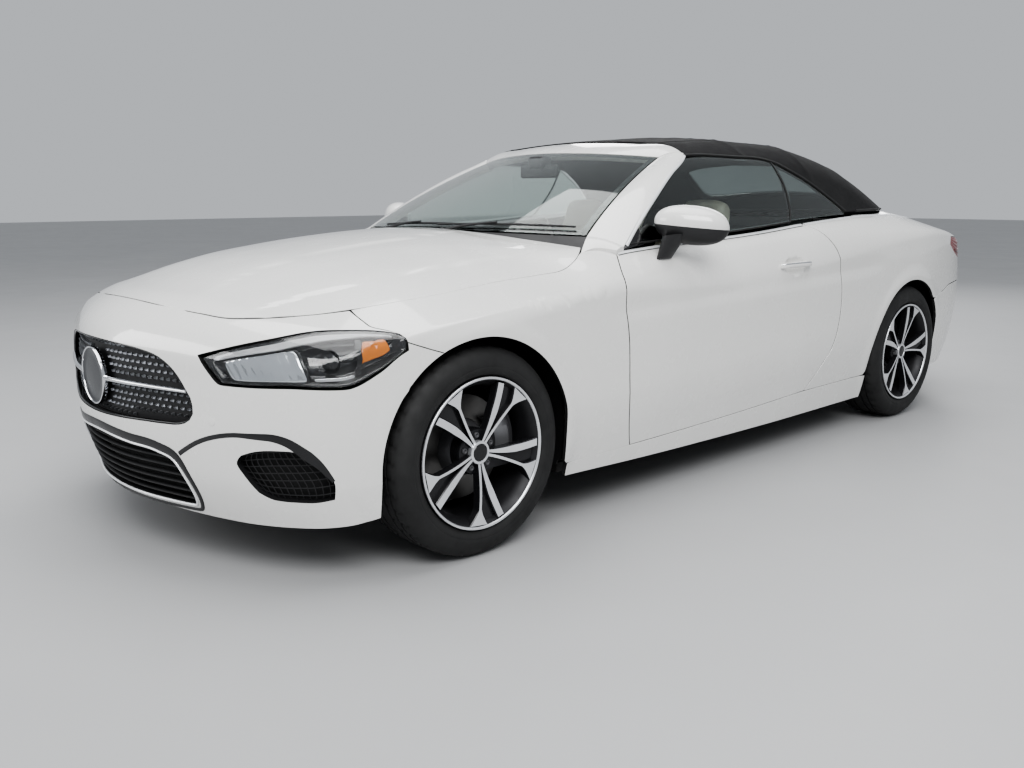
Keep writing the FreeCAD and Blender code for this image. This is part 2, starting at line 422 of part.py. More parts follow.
nose = lambda q0, q1, z0, z1: brick(*[[[(-.53 + 1.06 * i / 16, front_y(-.53 + 1.06 * i / 16, z0 + (z1 - z0) * j / 6, q), z0 + (z1 - z0) * j / 6) for j in range(7)] for i in range(17)] for q in (q0, q1)])
keep("front_grille", nose(.010, .034, .45, .71).common(prism(outline(GRILLE, .003), (0, 560, 0))))
keep("lower_intake", nose(.012, .036, .20, .41).common(prism(outline(INTAKE, .003), (0, 560, 0))))
vent = insert(VENT, VENT_DIR, 9, 7, .0055, -.010, .016)
keep("side_vents", *both(vent))
lamp = slab(body, LAMP_BOTTOM, LAMP_TOP, LAMP_IN, LAMP_OUT, 17, 7, .040, .0035, -.001)
keep("headlights", *both(lamp))

# ---------------- sides and rear ----------------
P = grid(body, SILL_LOW, [(p[0], p[1], p[2] - .003) for p in SILL_TOP], [SILL_LOW[0], (.884,-1.172,.208), SILL_TOP[0]], [SILL_LOW[-1], (.878,.93,.206), SILL_TOP[-1]], 19, 5, (.0, .0, .0, .0025))
sill = open_arches(brick(P, shift_x(P, .055)))
keep("sills", *both(sill))

TAIL_DIR = (.72, .69, 0)
tail_cut = opening((TAIL_LOW, TAIL_TOP, [TAIL_LOW[0], TAIL_TOP[0]], [TAIL_LOW[-1], TAIL_TOP[-1]]), TAIL_DIR, .25, .5)
DOOR_REAR_Q = [(p[0], p[1] + .005, p[2]) for p in DOOR_REAR]
quarter = slab(body, QUARTER_BOTTOM, QUARTER_TOP, DOOR_REAR_Q, LID_SIDE[::-1], 25, 19, PANEL_T / 1000, (.0032, .0030, .001, .0005))
quarter = open_arches(quarter).cut(tail_cut)
keep("quarter_panels", *both(quarter))
rear = slab(body, across(REAR_LOW), across(REAR_SEAM), flip(REAR_SIDE), REAR_SIDE, 33, 9, PANEL_T / 1000, (.001, .001, .0, .003))
keep("rear_bumper", open_arches(rear))
tail = insert((TAIL_LOW, TAIL_TOP, [TAIL_LOW[0], TAIL_TOP[0]], [TAIL_LOW[-1], TAIL_TOP[-1]]), TAIL_DIR, 17, 7, .003, -.001, .024)
keep("tail_lamps", *both(tail))

# panel round the foot of the soft top
DECK_IN = [base_point(math.radians(62) * i / 12, 1.052, .010) for i in range(-12, 13)]
DECK_OUT = across([(.776,1.30,1.046),(.757,1.45,1.036),(.700,1.59,1.028),(.625,1.668,1.024),(.545,1.698,1.024),(.3,1.727,1.04),(0,1.735,1.046)])
deck = slab(body, DECK_IN, DECK_OUT, [DECK_IN[0], DECK_OUT[0]], [DECK_IN[-1], DECK_OUT[-1]], 29, 5, .020, (.0, .0, .0, .0030))
keep("tonneau_panel", deck)

# ---------------- windscreen, soft top, glass ----------------
def screen_grid(u0, u1, v0, v1, nu, nv, d=(0, 0, 0)):
    return [[add(screen(u0 + (u1 - u0) * i / (nu - 1), v0 + (v1 - v0) * j / (nv - 1)), d) for j in range(nv)] for i in range(nu)]
keep("windscreen", brick(screen_grid(-.994, .994, .008, .994, 13, 9), screen_grid(-.994, .994, .008, .994, 13, 9, (0, .0023, -.0047))))
N = 9
inner_edge = [add(screen(1.003, j / (N - 1)), (0.0012, 0, 0)) for j in range(N)]
outer_edge = resample([(.818,-.812,.952),(.776,-.690,1.036),(.734,-.553,1.123),(.673,-.373,1.224),(.627,-.242,1.284),(.609,-.208,1.303)], N)
def row(a, b, n=3): return [tuple(a[k] + (b[k] - a[k]) * i / (n - 1) for k in range(3)) for i in range(n)]
def bulge(r, d): return [r[0], add(r[1], d), r[2]]
pillar = brick([bulge(row(inner_edge[j], outer_edge[j]), (.006, -.006, .008)) for j in range(N)],
               [row(add(inner_edge[j], (-.012, .040, -.030)), add(outer_edge[j], (-.040, .012, -.014))) for j in range(N)])
M = 13
head_front = [add(screen(-1.0 + 2 * i / (M - 1), 1.004), (0, .0006, 0)) for i in range(M)]
head_rear = resample([(-.600,-.213,1.306),(-.545,-.203,1.330),(-.35,-.206,1.350),(0,-.220,1.363),(.35,-.206,1.350),(.545,-.203,1.330),(.600,-.213,1.306)], M)
header = brick([bulge(row(head_front[i], head_rear[i]), (0, -.004, .008)) for i in range(M)],
               [row(add(head_front[i], (0, .022, -.032)), add(head_rear[i], (0, -.004, -.032))) for i in range(M)])
cowl_front = resample([(-.745,-.905,.935),(-.45,-1.000,.978),(0,-1.075,.990),(.45,-1.000,.978),(.745,-.905,.935)], M)
cowl_rear = [add(screen(-1.02 + 2.04 * i / (M - 1), -.004), (0, -.001, -.001)) for i in range(M)]
cowl = brick([row(cowl_front[i], cowl_rear[i]) for i in range(M)],
             [row(add(cowl_front[i], (0, 0, -.050)), add(cowl_rear[i], (0, .02, -.060))) for i in range(M)])
frame_ = join(header, pillar, mirror(pillar))
foot = brick([row((.690,-.905,.945), (.690,-.860,.985)), row((.76,-.890,.945), (.755,-.835,.985)), row((.800,-.842,.930), (.795,-.800,.960))],
             [row((.690,-.900,.88), (.690,-.800,.88)), row((.76,-.880,.88), (.755,-.790,.88)), row((.785,-.832,.88), (.785,-.790,.88))])
frame_ = join(frame_, cowl, foot, mirror(foot))
keep("windscreen_frame", frame_.cut(nodes["windscreen"]).cut(door).cut(mirror(door)).cut(fender).cut(mirror(fender)))

P = grid(green, TOP_FRONT, TOP_REAR, flip(TOP_SIDE), TOP_SIDE, 33, 17)
top = brick(P, shift(green, P, -TOP_T / 1000))
rw_cut = slab(green, RW_LOW, RW_TOP, flip(RW_SIDE), RW_SIDE, 9, 7, .12, -.001, .05)
keep("soft_top", top.cut(rw_cut))
keep("rear_window", slab(green, RW_LOW, RW_TOP, flip(RW_SIDE), RW_SIDE, 9, 7, .005, .002, -.006))
qw = slab(green, QW_LOW, QW_TOP, QW_FRONT, QW_TIP, 9, 7, GLASS_T / 1000, (.002, .001, .002, .002), -.001)
keep("quarter_windows", *both(qw))

# ---------------- floor, bulkheads, housings ----------------
floor = box(-800, 800, -1130, 930, FLOOR_Z, FLOOR_Z + FLOOR_T)
floor = floor.fuse(box(-110, 110, -1130, 930, FLOOR_Z, FLOOR_Z + 110))
back_floor = box(-560, 560, 931, 1150, 300, 318)
keep("floor_pan", join(floor, back_floor, box(-560, 560, 915, 931, FLOOR_Z + 5, 318), box(-560, 560, 1135, 1150, 318, 400), box(-560, 560, 1135, 1759, 400, 418)))
keep("firewall", box(-690, 690, -1131, -1115, 201, 880).cut(box(-110.5, 110.5, -1140, -1100, 190, FLOOR_Z + 110.5)))
keep("rear_bulkhead", box(-560, 560, 1120, 1134, 318.5, 960))

def housing(y, inner_x, sx):
    x0, x1 = (inner_x, 850)
    ring = cyl_x(LINER_R + 7, x0, x1, y, TYRE_R).cut(cyl_x(LINER_R, x0 + 8, x1 + 5, y, TYRE_R))
    low = TYRE_R - 130
    ring = ring.cut(box(x0 - 10, x1 + 10, y - 600, y + 600, -100, low))
    return ring
hf = housing(FRONT_AXLE_Y, HOUSING_X, 1)
hf = hf.cut(box(400, 600, FRONT_AXLE_Y - 60, FRONT_AXLE_Y + 60, 100, 270)).cut(box(400, 600, FRONT_AXLE_Y - 60, FRONT_AXLE_Y + 60, 455, 560))
hr = housing(REAR_AXLE_Y, 600, 1).cut(box(500, 700, REAR_AXLE_Y - 60, REAR_AXLE_Y + 60, 100, 400))
def largest(s): return max(s.Solids, key=lambda q: q.Volume)
hf = largest(hf.cut(bumper).cut(fender).cut(sill)); hr = largest(hr.cut(quarter).cut(rear).cut(sill))
keep("wheel_housings", *(both(hf) + both(hr)))

t = prism([(-500, 1760, 319), (-500, 2270, 319), (-500, 2270, 640), (-500, 2230, 820), (-500, 1760, 935)], (1000, 0, 0)).cut(box(-488, 488, 1772, 2225, 331, 1000))
keep("boot_tub", t)
keep("body_rails", join(box(-440, -360, -2100, -1131.5, 380, 470), box(360, 440, -2100, -1131.5, 380, 470), box(-560, 560, -2160, -2100, 360, 490), box(-440, 440, -2100, -2060, 640, 690), box(-440, -400, -2100, -2060, 470, 640), box(400, 440, -2100, -2060, 470, 640)))
keep("engine_block", box(-260, 260, -1980, -1250, 300, 800).cut(box(-300, 300, -1630, -1500, 290, 330)))
keep("undertrays", box(-540, 540, -2170, -1990, 190, 196), box(-640, 640, 1760, 2240, 196, 202))

# ---------------- axles, knuckles, wheels ----------------
FY, RY, WZ = FRONT_AXLE_Y, REAR_AXLE_Y, TYRE_R
def arm_pair(s):
    lower = box(300, KINGPIN_X, FY - 26, FY + 26, 190, 212).fuse(Part.makeCylinder(20, 24, V(KINGPIN_X, FY, 190)))
    upper = box(441, KINGPIN_X, FY - 20, FY + 20, 470, 490).fuse(Part.makeCylinder(20, 22, V(KINGPIN_X, FY, 468)))
    post = box(441, 458, FY - 30, FY + 30, 190, 500)
    return lower.fuse(upper).fuse(post)
a = arm_pair(1)
front_axle = join(box(-458, 458, FY - 40, FY + 40, 180, 250), a, mirror(a))
keep("front_axle", front_axle)
def wedge_ring(r0, r1, x0, x1, yc, zc, half_h, side):
    s = cyl_x(r1, x0, x1, yc, zc).cut(cyl_x(r0, x0 - 5, x1 + 5, yc, zc))
    return s.common(box(x0 - 1, x1 + 1, *((yc, yc + 300) if side > 0 else (yc - 300, yc)), zc - half_h, zc + half_h))
def knuckle():
    k = Part.makeCylinder(22, 225, V(KINGPIN_X, FY, 226))
    k = k.fuse(cyl_x(SPINDLE_R, KINGPIN_X, 852, FY, WZ)).fuse(cyl_x(60, KINGPIN_X + 5, KINGPIN_X + 28, FY, WZ))
    k = k.fuse(box(KINGPIN_X + 7, KINGPIN_X + 28, FY, FY + 150, WZ - 35, WZ + 35))
    cal = wedge_ring(105, 198, KINGPIN_X + 7, KINGPIN_X + 28, FY, WZ, 85, 1)
    cal = cal.fuse(wedge_ring(178, 198, KINGPIN_X + 7, 826, FY, WZ, 85, 1)).fuse(wedge_ring(110, 198, 802, 826, FY, WZ, 85, 1))
    return join(k, cal)
kn = knuckle()
keep("front_knuckle_left", kn); keep("front_knuckle_right", mirror(kn))
def carrier():
    k = box(690, 760, RY - 55, RY + 55, WZ - 90, WZ + 90).fuse(cyl_x(SPINDLE_R, 740, 852, RY, WZ))
    k = k.fuse(wedge_ring(105, 198, 742, 763, RY, WZ, 80, -1)).fuse(wedge_ring(178, 198, 742, 826, RY, WZ, 80, -1)).fuse(wedge_ring(110, 198, 802, 826, RY, WZ, 80, -1))
    return k.fuse(box(742, 760, RY - 150, RY, WZ - 35, WZ + 35))
c = carrier()
keep("rear_axle", join(cyl_x(36, -700, 700, RY, WZ), c, mirror(c), box(-420, 420, RY - 70, RY + 70, 230, 290).fuse(box(-60, 60, RY - 70, RY + 70, 280, 385))))

def revolve(pts, x, y, z):
    """ring about the wheel axis from an outline of (along axle, radius)"""
    w = Part.makePolygon([V(p[0], 0, p[1]) for p in pts + pts[:1]])
    s = Part.Face(w).revolve(V(0, 0, 0), V(1, 0, 0), 360)
    if s.Volume < 0: s.reverse()
    s.translate(V(x, y, z)); return s
def spoke_window(a0, w0, a1, w1, r0, r1, turn):
    """prism through the wheel face between two spokes at angles a0 and a1 (degrees), half widths w0 and w1"""
    pts = []
    for r in (r0, (r0 + r1) / 2, r1):
        pts.append((r, math.radians(a0) + math.asin(w0 / r)))
    for r, k in ((r1, .33), (r1, .67)):
        lo = math.radians(a0) + math.asin(w0 / r1); hi = math.radians(a1) - math.asin(w1 / r1)
        pts.append((r, lo + (hi - lo) * k))
    for r in (r1, (r0 + r1) / 2, r0):
        pts.append((r, math.radians(a1) - math.asin(w1 / r)))
    t = math.radians(turn)
    w = Part.makePolygon([V(50, r * math.sin(a + t), r * math.cos(a + t)) for r, a in pts + pts[:1]])
    return Part.Face(w).extrude(V(55, 0, 0))
def wheel(turn):
    w = revolve([(-116, 244.7), (-116, 236), (-98, BARREL_IN_R), (62, BARREL_IN_R), (62, 66), (-5, 66), (-5, ROTOR_R), (-30, ROTOR_R), (-30, SPINDLE_R + 2), (56, SPINDLE_R + 2),
                 (56, 0), (90, 0), (90, 78), (86, 84), (92, BARREL_IN_R), (96, BARREL_IN_R), (112, 238), (115, 244.7), (101, 244.7), (95, 231), (-95, 231), (-101, 244.7)], 0, 0, 0)
    for i in range(5):
        w = w.cut(spoke_window(9.5, 18, 62.5, 12, 88, 203, turn + 72 * i))
        w = w.cut(spoke_window(-9.5, 12, 9.5, 18, 135, 203, turn + 72 * i))
    for i in range(5):
        an = math.radians(72 * i + turn + 36)
        w = w.cut(cyl_x(7, 40, 120, 56 * math.sin(an), 56 * math.cos(an)))
    return w
def tyre():
    return revolve([(-93.5, 232), (-99.5, 246.5), (-113, 252), (-120, 275), (-118, 300), (-108, 326), (-88, 340), (88, 340), (108, 326), (118, 300), (120, 275), (113, 252), (99.5, 246.5), (93.5, 232)], 0, 0, 0)
W0, T0 = wheel(0.0), tyre()
for nm, sx, y in (("front_left", 1, FY), ("front_right", -1, FY), ("rear_left", 1, RY), ("rear_right", -1, RY)):
    w = W0 if sx > 0 else mirror(W0)
    w = w.copy(); w.translate(V(sx * WHEEL_X, y, WZ)); keep("wheel_" + nm, w)
    t = T0.copy(); t.translate(V(sx * WHEEL_X, y, WZ)); keep("tyre_" + nm, t)

# ---------------- cabin ----------------
dash = prism([(-690, -1100, 700), (-690, -1085, 850), (-690, -935, 878), (-690, -880, 925), (-690, -720, 948), (-690, -620, 915), (-690, -590, 820), (-690, -640, 720), (-690, -760, 620), (-690, -1100, 600)], (1380, 0, 0))
keep("dashboard", dash.cut(nodes["windscreen_frame"]).cut(nodes["windscreen"]))
keep("centre_console", prism([(-125, -700, 276), (-125, -700, 600), (-125, -560, 560), (-125, -300, 470), (-125, 150, 500), (-125, 190, 470), (-125, 190, 276)], (250, 0, 0)).cut(dash))
def seat(cx):
    c = prism([(cx - 240, -440, 300), (cx - 240, -460, 430), (cx - 240, -400, 480), (cx - 240, -60, 440), (cx - 240, 60, 430), (cx - 240, 100, 300)], (480, 0, 0))
    b = prism([(cx - 235, 20, 400), (cx - 235, 60, 480), (cx - 235, 190, 860), (cx - 235, 250, 940), (cx - 235, 310, 920), (cx - 235, 250, 640), (cx - 235, 160, 330), (cx - 235, 60, 330)], (470, 0, 0))
    h = prism([(cx - 135, 205, 880), (cx - 135, 200, 1060), (cx - 135, 235, 1120), (cx - 135, 300, 1110), (cx - 135, 320, 1040), (cx - 135, 300, 880)], (270, 0, 0))
    base = box(cx - 200, cx + 200, -380, 60, FLOOR_Z + FLOOR_T, 310)
    return join(c, b, h, base)
keep("front_seats", seat(380), seat(-380))
rs = prism([(-570, 520, 260), (-570, 500, 420), (-570, 560, 470), (-570, 880, 440), (-570, 960, 480), (-570, 1060, 900), (-570, 1080, 960), (-570, 1115, 940), (-570, 1115, 330), (-570, 930, 330), (-570, 910, 260)], (1140, 0, 0))
rs = rs.cut(box(-600, 600, 905, 1120, 200, 320)).cut(box(-110.5, 110.5, 400, 1120, 200, FLOOR_Z + 111))
keep("rear_seat", join(rs, box(-560, 560, 560, 880, FLOOR_Z + FLOOR_T, 300).cut(box(-111, 111, 500, 900, 150, 277))))

ct = math.radians(COLUMN_TILT)
SW = V(380, -470, 800)
ax = V(0, math.cos(ct), math.sin(ct))
def along(r, a, b): return Part.makeCylinder(r, b - a, SW + ax * a, ax)
ring = Part.makeTorus(182, 16, SW, ax)
spokes = along(62, -20, 18)
bar = Part.makeBox(350, 24, 34, V(-175, -12, -17)); bar.rotate(V(0, 0, 0), V(1, 0, 0), COLUMN_TILT); bar.translate(SW)
down = Part.makeBox(60, 18, 170, V(-30, -9, -175)); down.rotate(V(0, 0, 0), V(1, 0, 0), COLUMN_TILT); down.translate(SW)
wheel_s = join(ring, spokes, bar, down)
keep("steering_wheel", wheel_s)
keep("steering_column", along(34, -190, -23).cut(dash))

# pads for jacks under the sills
pads = []
for y in (-1020, 800):
    pads.append(box(735, 795, y - 30, y + 30, 145, 165))
keep("jacking_pads", *[q for p_ in pads for q in (p_, mirror(p_))])

for name, shape in nodes.items():
    shape.exportStep("parts/" + name + ".step")
    bb = shape.optimalBoundingBox(False) if hasattr(shape, "optimalBoundingBox") else shape.BoundBox
    print("%-22s ok=%s solids=%d vol=%.5f x %.0f..%.0f y %.0f..%.0f z %.0f..%.0f" % (name, shape.isValid(), len(shape.Solids), shape.Volume / 1e9, bb.XMin, bb.XMax, bb.YMin, bb.YMax, bb.ZMin, bb.ZMax))
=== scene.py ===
import bpy, bmesh, math, json
import numpy as np
from mathutils import Vector, Matrix, Euler

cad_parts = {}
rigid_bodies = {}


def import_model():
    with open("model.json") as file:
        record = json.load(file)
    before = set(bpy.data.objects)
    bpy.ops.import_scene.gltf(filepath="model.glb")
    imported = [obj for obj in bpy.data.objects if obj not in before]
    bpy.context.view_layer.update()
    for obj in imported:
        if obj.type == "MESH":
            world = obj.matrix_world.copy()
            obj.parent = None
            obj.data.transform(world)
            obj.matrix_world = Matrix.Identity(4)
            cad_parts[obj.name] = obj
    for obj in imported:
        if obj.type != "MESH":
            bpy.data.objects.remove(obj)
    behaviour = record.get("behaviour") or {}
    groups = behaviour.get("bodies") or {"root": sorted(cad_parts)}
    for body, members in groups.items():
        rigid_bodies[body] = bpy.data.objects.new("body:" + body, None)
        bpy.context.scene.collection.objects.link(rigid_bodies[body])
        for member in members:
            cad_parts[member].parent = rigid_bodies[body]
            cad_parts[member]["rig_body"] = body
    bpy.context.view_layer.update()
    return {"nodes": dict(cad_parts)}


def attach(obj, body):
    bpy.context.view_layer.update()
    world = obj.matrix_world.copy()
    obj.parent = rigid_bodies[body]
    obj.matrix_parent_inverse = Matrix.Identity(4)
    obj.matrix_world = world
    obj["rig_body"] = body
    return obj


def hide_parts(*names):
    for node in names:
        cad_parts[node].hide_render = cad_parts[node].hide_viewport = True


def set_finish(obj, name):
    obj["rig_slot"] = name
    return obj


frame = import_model()
ROOT = "body_shell"
WHEELS = {"fl": ("wheel_fl_body", 1, -1.565, "front_left"), "fr": ("wheel_fr_body", -1, -1.565, "front_right"),
          "rl": ("wheel_rl_body", 1, 1.300, "rear_left"), "rr": ("wheel_rr_body", -1, 1.300, "rear_right")}
col = bpy.context.scene.collection

# =====================================================================
# materials
# =====================================================================
def new_mat(name):
    m = bpy.data.materials.new(name); m.use_nodes = True
    nt = m.node_tree; b = nt.nodes["Principled BSDF"]
    return m, nt, b

def coords(nt, scale):
    tc = nt.nodes.new("ShaderNodeTexCoord")
    mp = nt.nodes.new("ShaderNodeMapping"); mp.inputs["Scale"].default_value = scale if hasattr(scale, "__len__") else (scale,) * 3
    nt.links.new(tc.outputs["Object"], mp.inputs["Vector"])
    return mp.outputs["Vector"]

def noise(nt, scale, detail=3.0, rough=.5, vec=None):
    n = nt.nodes.new("ShaderNodeTexNoise"); n.inputs["Scale"].default_value = 1.0
    n.inputs["Detail"].default_value = detail; n.inputs["Roughness"].default_value = rough
    nt.links.new(vec if vec is not None else coords(nt, scale), n.inputs["Vector"])
    return n.outputs["Fac"]

def ramp(nt, fac, stops):
    r = nt.nodes.new("ShaderNodeValToRGB")
    e = r.color_ramp.elements
    while len(e) < len(stops): e.new(.5)
    for k, (p, c) in enumerate(stops):
        e[k].position = p; e[k].color = (*c, 1) if len(c) == 3 else c
    nt.links.new(fac, r.inputs["Fac"])
    return r.outputs["Color"]

def spread(nt, fac, lo, hi):
    m = nt.nodes.new("ShaderNodeMapRange"); m.inputs["From Min"].default_value = .3; m.inputs["From Max"].default_value = .7
    m.inputs["To Min"].default_value = lo; m.inputs["To Max"].default_value = hi
    nt.links.new(fac, m.inputs["Value"])
    return m.outputs["Result"]

def bump(nt, b, height, strength, distance, chain=None):
    n = nt.nodes.new("ShaderNodeBump"); n.inputs["Strength"].default_value = strength; n.inputs["Distance"].default_value = distance
    nt.links.new(height, n.inputs["Height"])
    if chain is not None: nt.links.new(chain, n.inputs["Normal"])
    nt.links.new(n.outputs["Normal"], b.inputs["Normal"])
    return n.outputs["Normal"]

def simple(name, base, rough, metal=0.0, vary=.06, rvary=.06, scale=9.0, bscale=180.0, bstr=.12, bdist=.0006, **kw):
    """surface with slight colour and roughness changes and a fine grain"""
    m, nt, b = new_mat(name)
    n = noise(nt, scale)
    lo = tuple(max(0, c * (1 - vary)) for c in base); hi = tuple(min(1, c * (1 + vary)) for c in base)
    nt.links.new(ramp(nt, n, [(.3, lo), (.7, hi)]), b.inputs["Base Color"])
    nt.links.new(spread(nt, noise(nt, scale * 2.3), max(.02, rough - rvary), min(1, rough + rvary)), b.inputs["Roughness"])
    b.inputs["Metallic"].default_value = metal
    bump(nt, b, noise(nt, bscale, 2.0), bstr, bdist)
    for k, v in kw.items(): b.inputs[k].default_value = v
    return m

MAT = {}
# white pearl paint with a clear coat
m, nt, b = new_mat("paint")
nt.links.new(ramp(nt, noise(nt, 2.2), [(.3, (.745, .742, .722)), (.7, (.780, .776, .755))]), b.inputs["Base Color"])
nt.links.new(spread(nt, noise(nt, 14), .22, .30), b.inputs["Roughness"])
b.inputs["Coat Weight"].default_value = 1.0; b.inputs["Coat Roughness"].default_value = .04
bump(nt, b, noise(nt, 900, 1.0), .03, .0002)
MAT["paint"] = m
MAT["black_plastic"] = simple("black_plastic", (.018, .018, .019), .46, bscale=420, bstr=.3)
MAT["gloss_black"] = simple("gloss_black", (.010, .010, .011), .12, bscale=14, bstr=.01, rvary=.03)
# near-black used as painted shade in panel gaps and seams, and for the backing panels set behind openings
MAT["gap_shade_and_backing"] = simple("gap_shade_and_backing", (.008, .008, .008), .85)
MAT["matt_black"] = simple("matt_black", (.009, .009, .010), .62, bscale=300, bstr=.15)
MAT["frame_grey"] = simple("frame_grey", (.013, .013, .014), .32, bscale=300, bstr=.08)
MAT["bright_trim"] = simple("bright_trim", (.88, .89, .90), .22, .25, rvary=.04, bscale=60, bstr=.02)
MAT["disc_grey"] = simple("disc_grey", (.085, .088, .094), .22, .7, rvary=.03, bscale=60, bstr=.01)
MAT["lamp_dark"] = simple("lamp_dark", (.014, .014, .016), .16, bscale=12, bstr=.01, rvary=.03)
MAT["lamp_mirror"] = simple("lamp_mirror", (.80, .82, .85), .11, 1.0, rvary=.03, bscale=10, bstr=.01)
MAT["grey_plastic"] = simple("grey_plastic", (.12, .12, .125), .45, bscale=300, bstr=.2)
MAT["chrome"] = simple("chrome", (.74, .75, .77), .10, 1.0, rvary=.03, bscale=60, bstr=.02)
MAT["satin_chrome"] = simple("satin_chrome", (.62, .63, .65), .24, 1.0, rvary=.05, bscale=60, bstr=.03)
MAT["reflector"] = simple("reflector", (.80, .81, .83), .13, 1.0, rvary=.04, bscale=220, bstr=.10)
MAT["machined"] = simple("machined", (.80, .81, .83), .32, .80, rvary=.05, bscale=500, bstr=.08)
MAT["stud_grey"] = simple("stud_grey", (.42, .43, .45), .30, .9, rvary=.04, bscale=60, bstr=.02)
MAT["wheel_black"] = simple("wheel_black", (.018, .018, .020), .22, .3, bscale=300, bstr=.05)
MAT["wheel_inner"] = simple("wheel_inner", (.022, .022, .024), .46, .4)
MAT["brake_iron"] = simple("brake_iron", (.15, .147, .143), .38, 1.0, vary=.12, bscale=250, bstr=.15)
MAT["caliper"] = simple("caliper", (.30, .30, .31), .40, .6, bscale=160, bstr=.15)
MAT["steel_dark"] = simple("steel_dark", (.09, .09, .095), .52, .4, vary=.15)
MAT["leather_dark"] = simple("leather_dark", (.022, .021, .021), .50, bscale=700, bstr=.35)
MAT["dash_soft"] = simple("dash_soft", (.016, .016, .017), .62, bscale=800, bstr=.35)
MAT["carpet"] = simple("carpet", (.035, .034, .033), .95, bscale=900, bstr=.7, bdist=.001)
MAT["amber"] = simple("amber", (.75, .22, .02), .12, rvary=.03)
MAT["red_lens"] = simple("red_lens", (.20, .006, .008), .10, rvary=.03, bscale=120, bstr=.05)
MAT["red_dark"] = simple("red_dark", (.08, .004, .005), .14, rvary=.03)
MAT["clear_white"] = simple("clear_white", (.62, .62, .63), .16, rvary=.04)
MAT["rubber"] = simple("rubber", (.016, .016, .016), .70, bscale=300, bstr=.2)
MAT["mirror_glass"] = simple("mirror_glass", (.78, .80, .82), .04, 1.0, rvary=.02, bscale=20, bstr=.01)

# cream leather: grain from cells and a slow colour change
m, nt, b = new_mat("leather_cream")
nt.links.new(ramp(nt, noise(nt, 6), [(.3, (.56, .50, .42)), (.7, (.63, .57, .485))]), b.inputs["Base Color"])
nt.links.new(spread(nt, noise(nt, 18), .40, .52), b.inputs["Roughness"])
v = nt.nodes.new("ShaderNodeTexVoronoi"); v.inputs["Scale"].default_value = 1.0
nt.links.new(coords(nt, 420), v.inputs["Vector"]); bump(nt, b, v.outputs["Distance"], .22, .0008)
MAT["leather_cream"] = m

# roof cloth: fine crossed weave, soft colour change
m, nt, b = new_mat("roof_cloth")
nt.links.new(ramp(nt, noise(nt, 5, 4), [(.3, (.0055, .0055, .006)), (.7, (.0105, .0105, .011))]), b.inputs["Base Color"])
nt.links.new(spread(nt, noise(nt, 30), .86, .96), b.inputs["Roughness"])
w1 = nt.nodes.new("ShaderNodeTexWave"); w1.bands_direction = "X"; w1.inputs["Scale"].default_value = 1.0; nt.links.new(coords(nt, 260), w1.inputs["Vector"])
w2 = nt.nodes.new("ShaderNodeTexWave"); w2.bands_direction = "Y"; w2.inputs["Scale"].default_value = 1.0; nt.links.new(coords(nt, 260), w2.inputs["Vector"])
mx = nt.nodes.new("ShaderNodeMath"); mx.operation = "MULTIPLY"; nt.links.new(w1.outputs["Fac"], mx.inputs[0]); nt.links.new(w2.outputs["Fac"], mx.inputs[1])
c1 = bump(nt, b, mx.outputs["Value"], .35, .0008)
bump(nt, b, noise(nt, 26, 3), .25, .003, c1)
b.inputs["Sheen Weight"].default_value = .03; b.inputs["Sheen Roughness"].default_value = .5; b.inputs["Specular IOR Level"].default_value = .25
MAT["roof_cloth"] = m

# tyre: dark, dusty in places
m, nt, b = new_mat("tyre")
nt.links.new(ramp(nt, noise(nt, 7, 4), [(.3, (.009, .009, .009)), (.72, (.018, .018, .018))]), b.inputs["Base Color"])
nt.links.new(spread(nt, noise(nt, 22), .62, .80), b.inputs["Roughness"])
bump(nt, b, noise(nt, 240, 2), .25, .0008)
MAT["tyre"] = m

def glass_mat(name, tint, alpha_rough=.0, rough=.02):
    m, nt, b = new_mat(name)
    nt.links.new(ramp(nt, noise(nt, 3), [(.3, tuple(c * .99 for c in tint)), (.7, tint)]), b.inputs["Base Color"])
    nt.links.new(spread(nt, noise(nt, 5), max(.0, rough - .01), rough + .01), b.inputs["Roughness"])
    b.inputs["Transmission Weight"].default_value = 1.0; b.inputs["IOR"].default_value = 1.45
    bump(nt, b, noise(nt, 4, 1), .01, .0002)
    return m
MAT["glass"] = glass_mat("glass", (.86, .93, .90))
MAT["glass_side"] = glass_mat("glass_side", (.72, .80, .77))
MAT["lamp_glass"] = glass_mat("lamp_glass", (.97, .98, .98))
MAT["rear_glass"] = glass_mat("rear_glass", (.30, .33, .33))

# =====================================================================
# surface functions (same tables as the construction)
# =====================================================================
class Table:
    def __init__(s, *pts):
        xs = [p[0] for p in pts]; ys = [p[1] for p in pts]; n = len(xs)
        h = [xs[i + 1] - xs[i] for i in range(n - 1)]
        d = [(ys[i + 1] - ys[i]) / h[i] for i in range(n - 1)]
        m = [0.0] * n
        for i in range(1, n - 1):
            if d[i - 1] * d[i] > 0:
                m[i] = (h[i] * d[i - 1] + h[i - 1] * d[i]) / (h[i] + h[i - 1])
                lim = 3 * min(abs(d[i - 1]), abs(d[i]))
                if abs(m[i]) > lim: m[i] = math.copysign(lim, m[i])
        m[0] = 1.5 * d[0] - .5 * m[1] if n > 2 else d[0]
        m[-1] = 1.5 * d[-1] - .5 * m[-2] if n > 2 else d[-1]
        s.x = np.array(xs, float); s.y = np.array(ys, float); s.m = np.array(m); s.h = np.array(h)
    def __call__(s, x):
        x = np.asarray(x, float)
        i = np.clip(np.searchsorted(s.x, x) - 1, 0, len(s.x) - 2)
        h = s.h[i]; t = (x - s.x[i]) / h; c = np.clip(t, 0, 1)
        m0 = s.m[i] * h; m1 = s.m[i + 1] * h
        v = (2*c**3 - 3*c**2 + 1) * s.y[i] + (c**3 - 2*c**2 + c) * m0 + (-2*c**3 + 3*c**2) * s.y[i + 1] + (c**3 - c**2) * m1
        return v + np.where(t < 0, m0 * t, 0) + np.where(t > 1, m1 * (t - 1), 0)

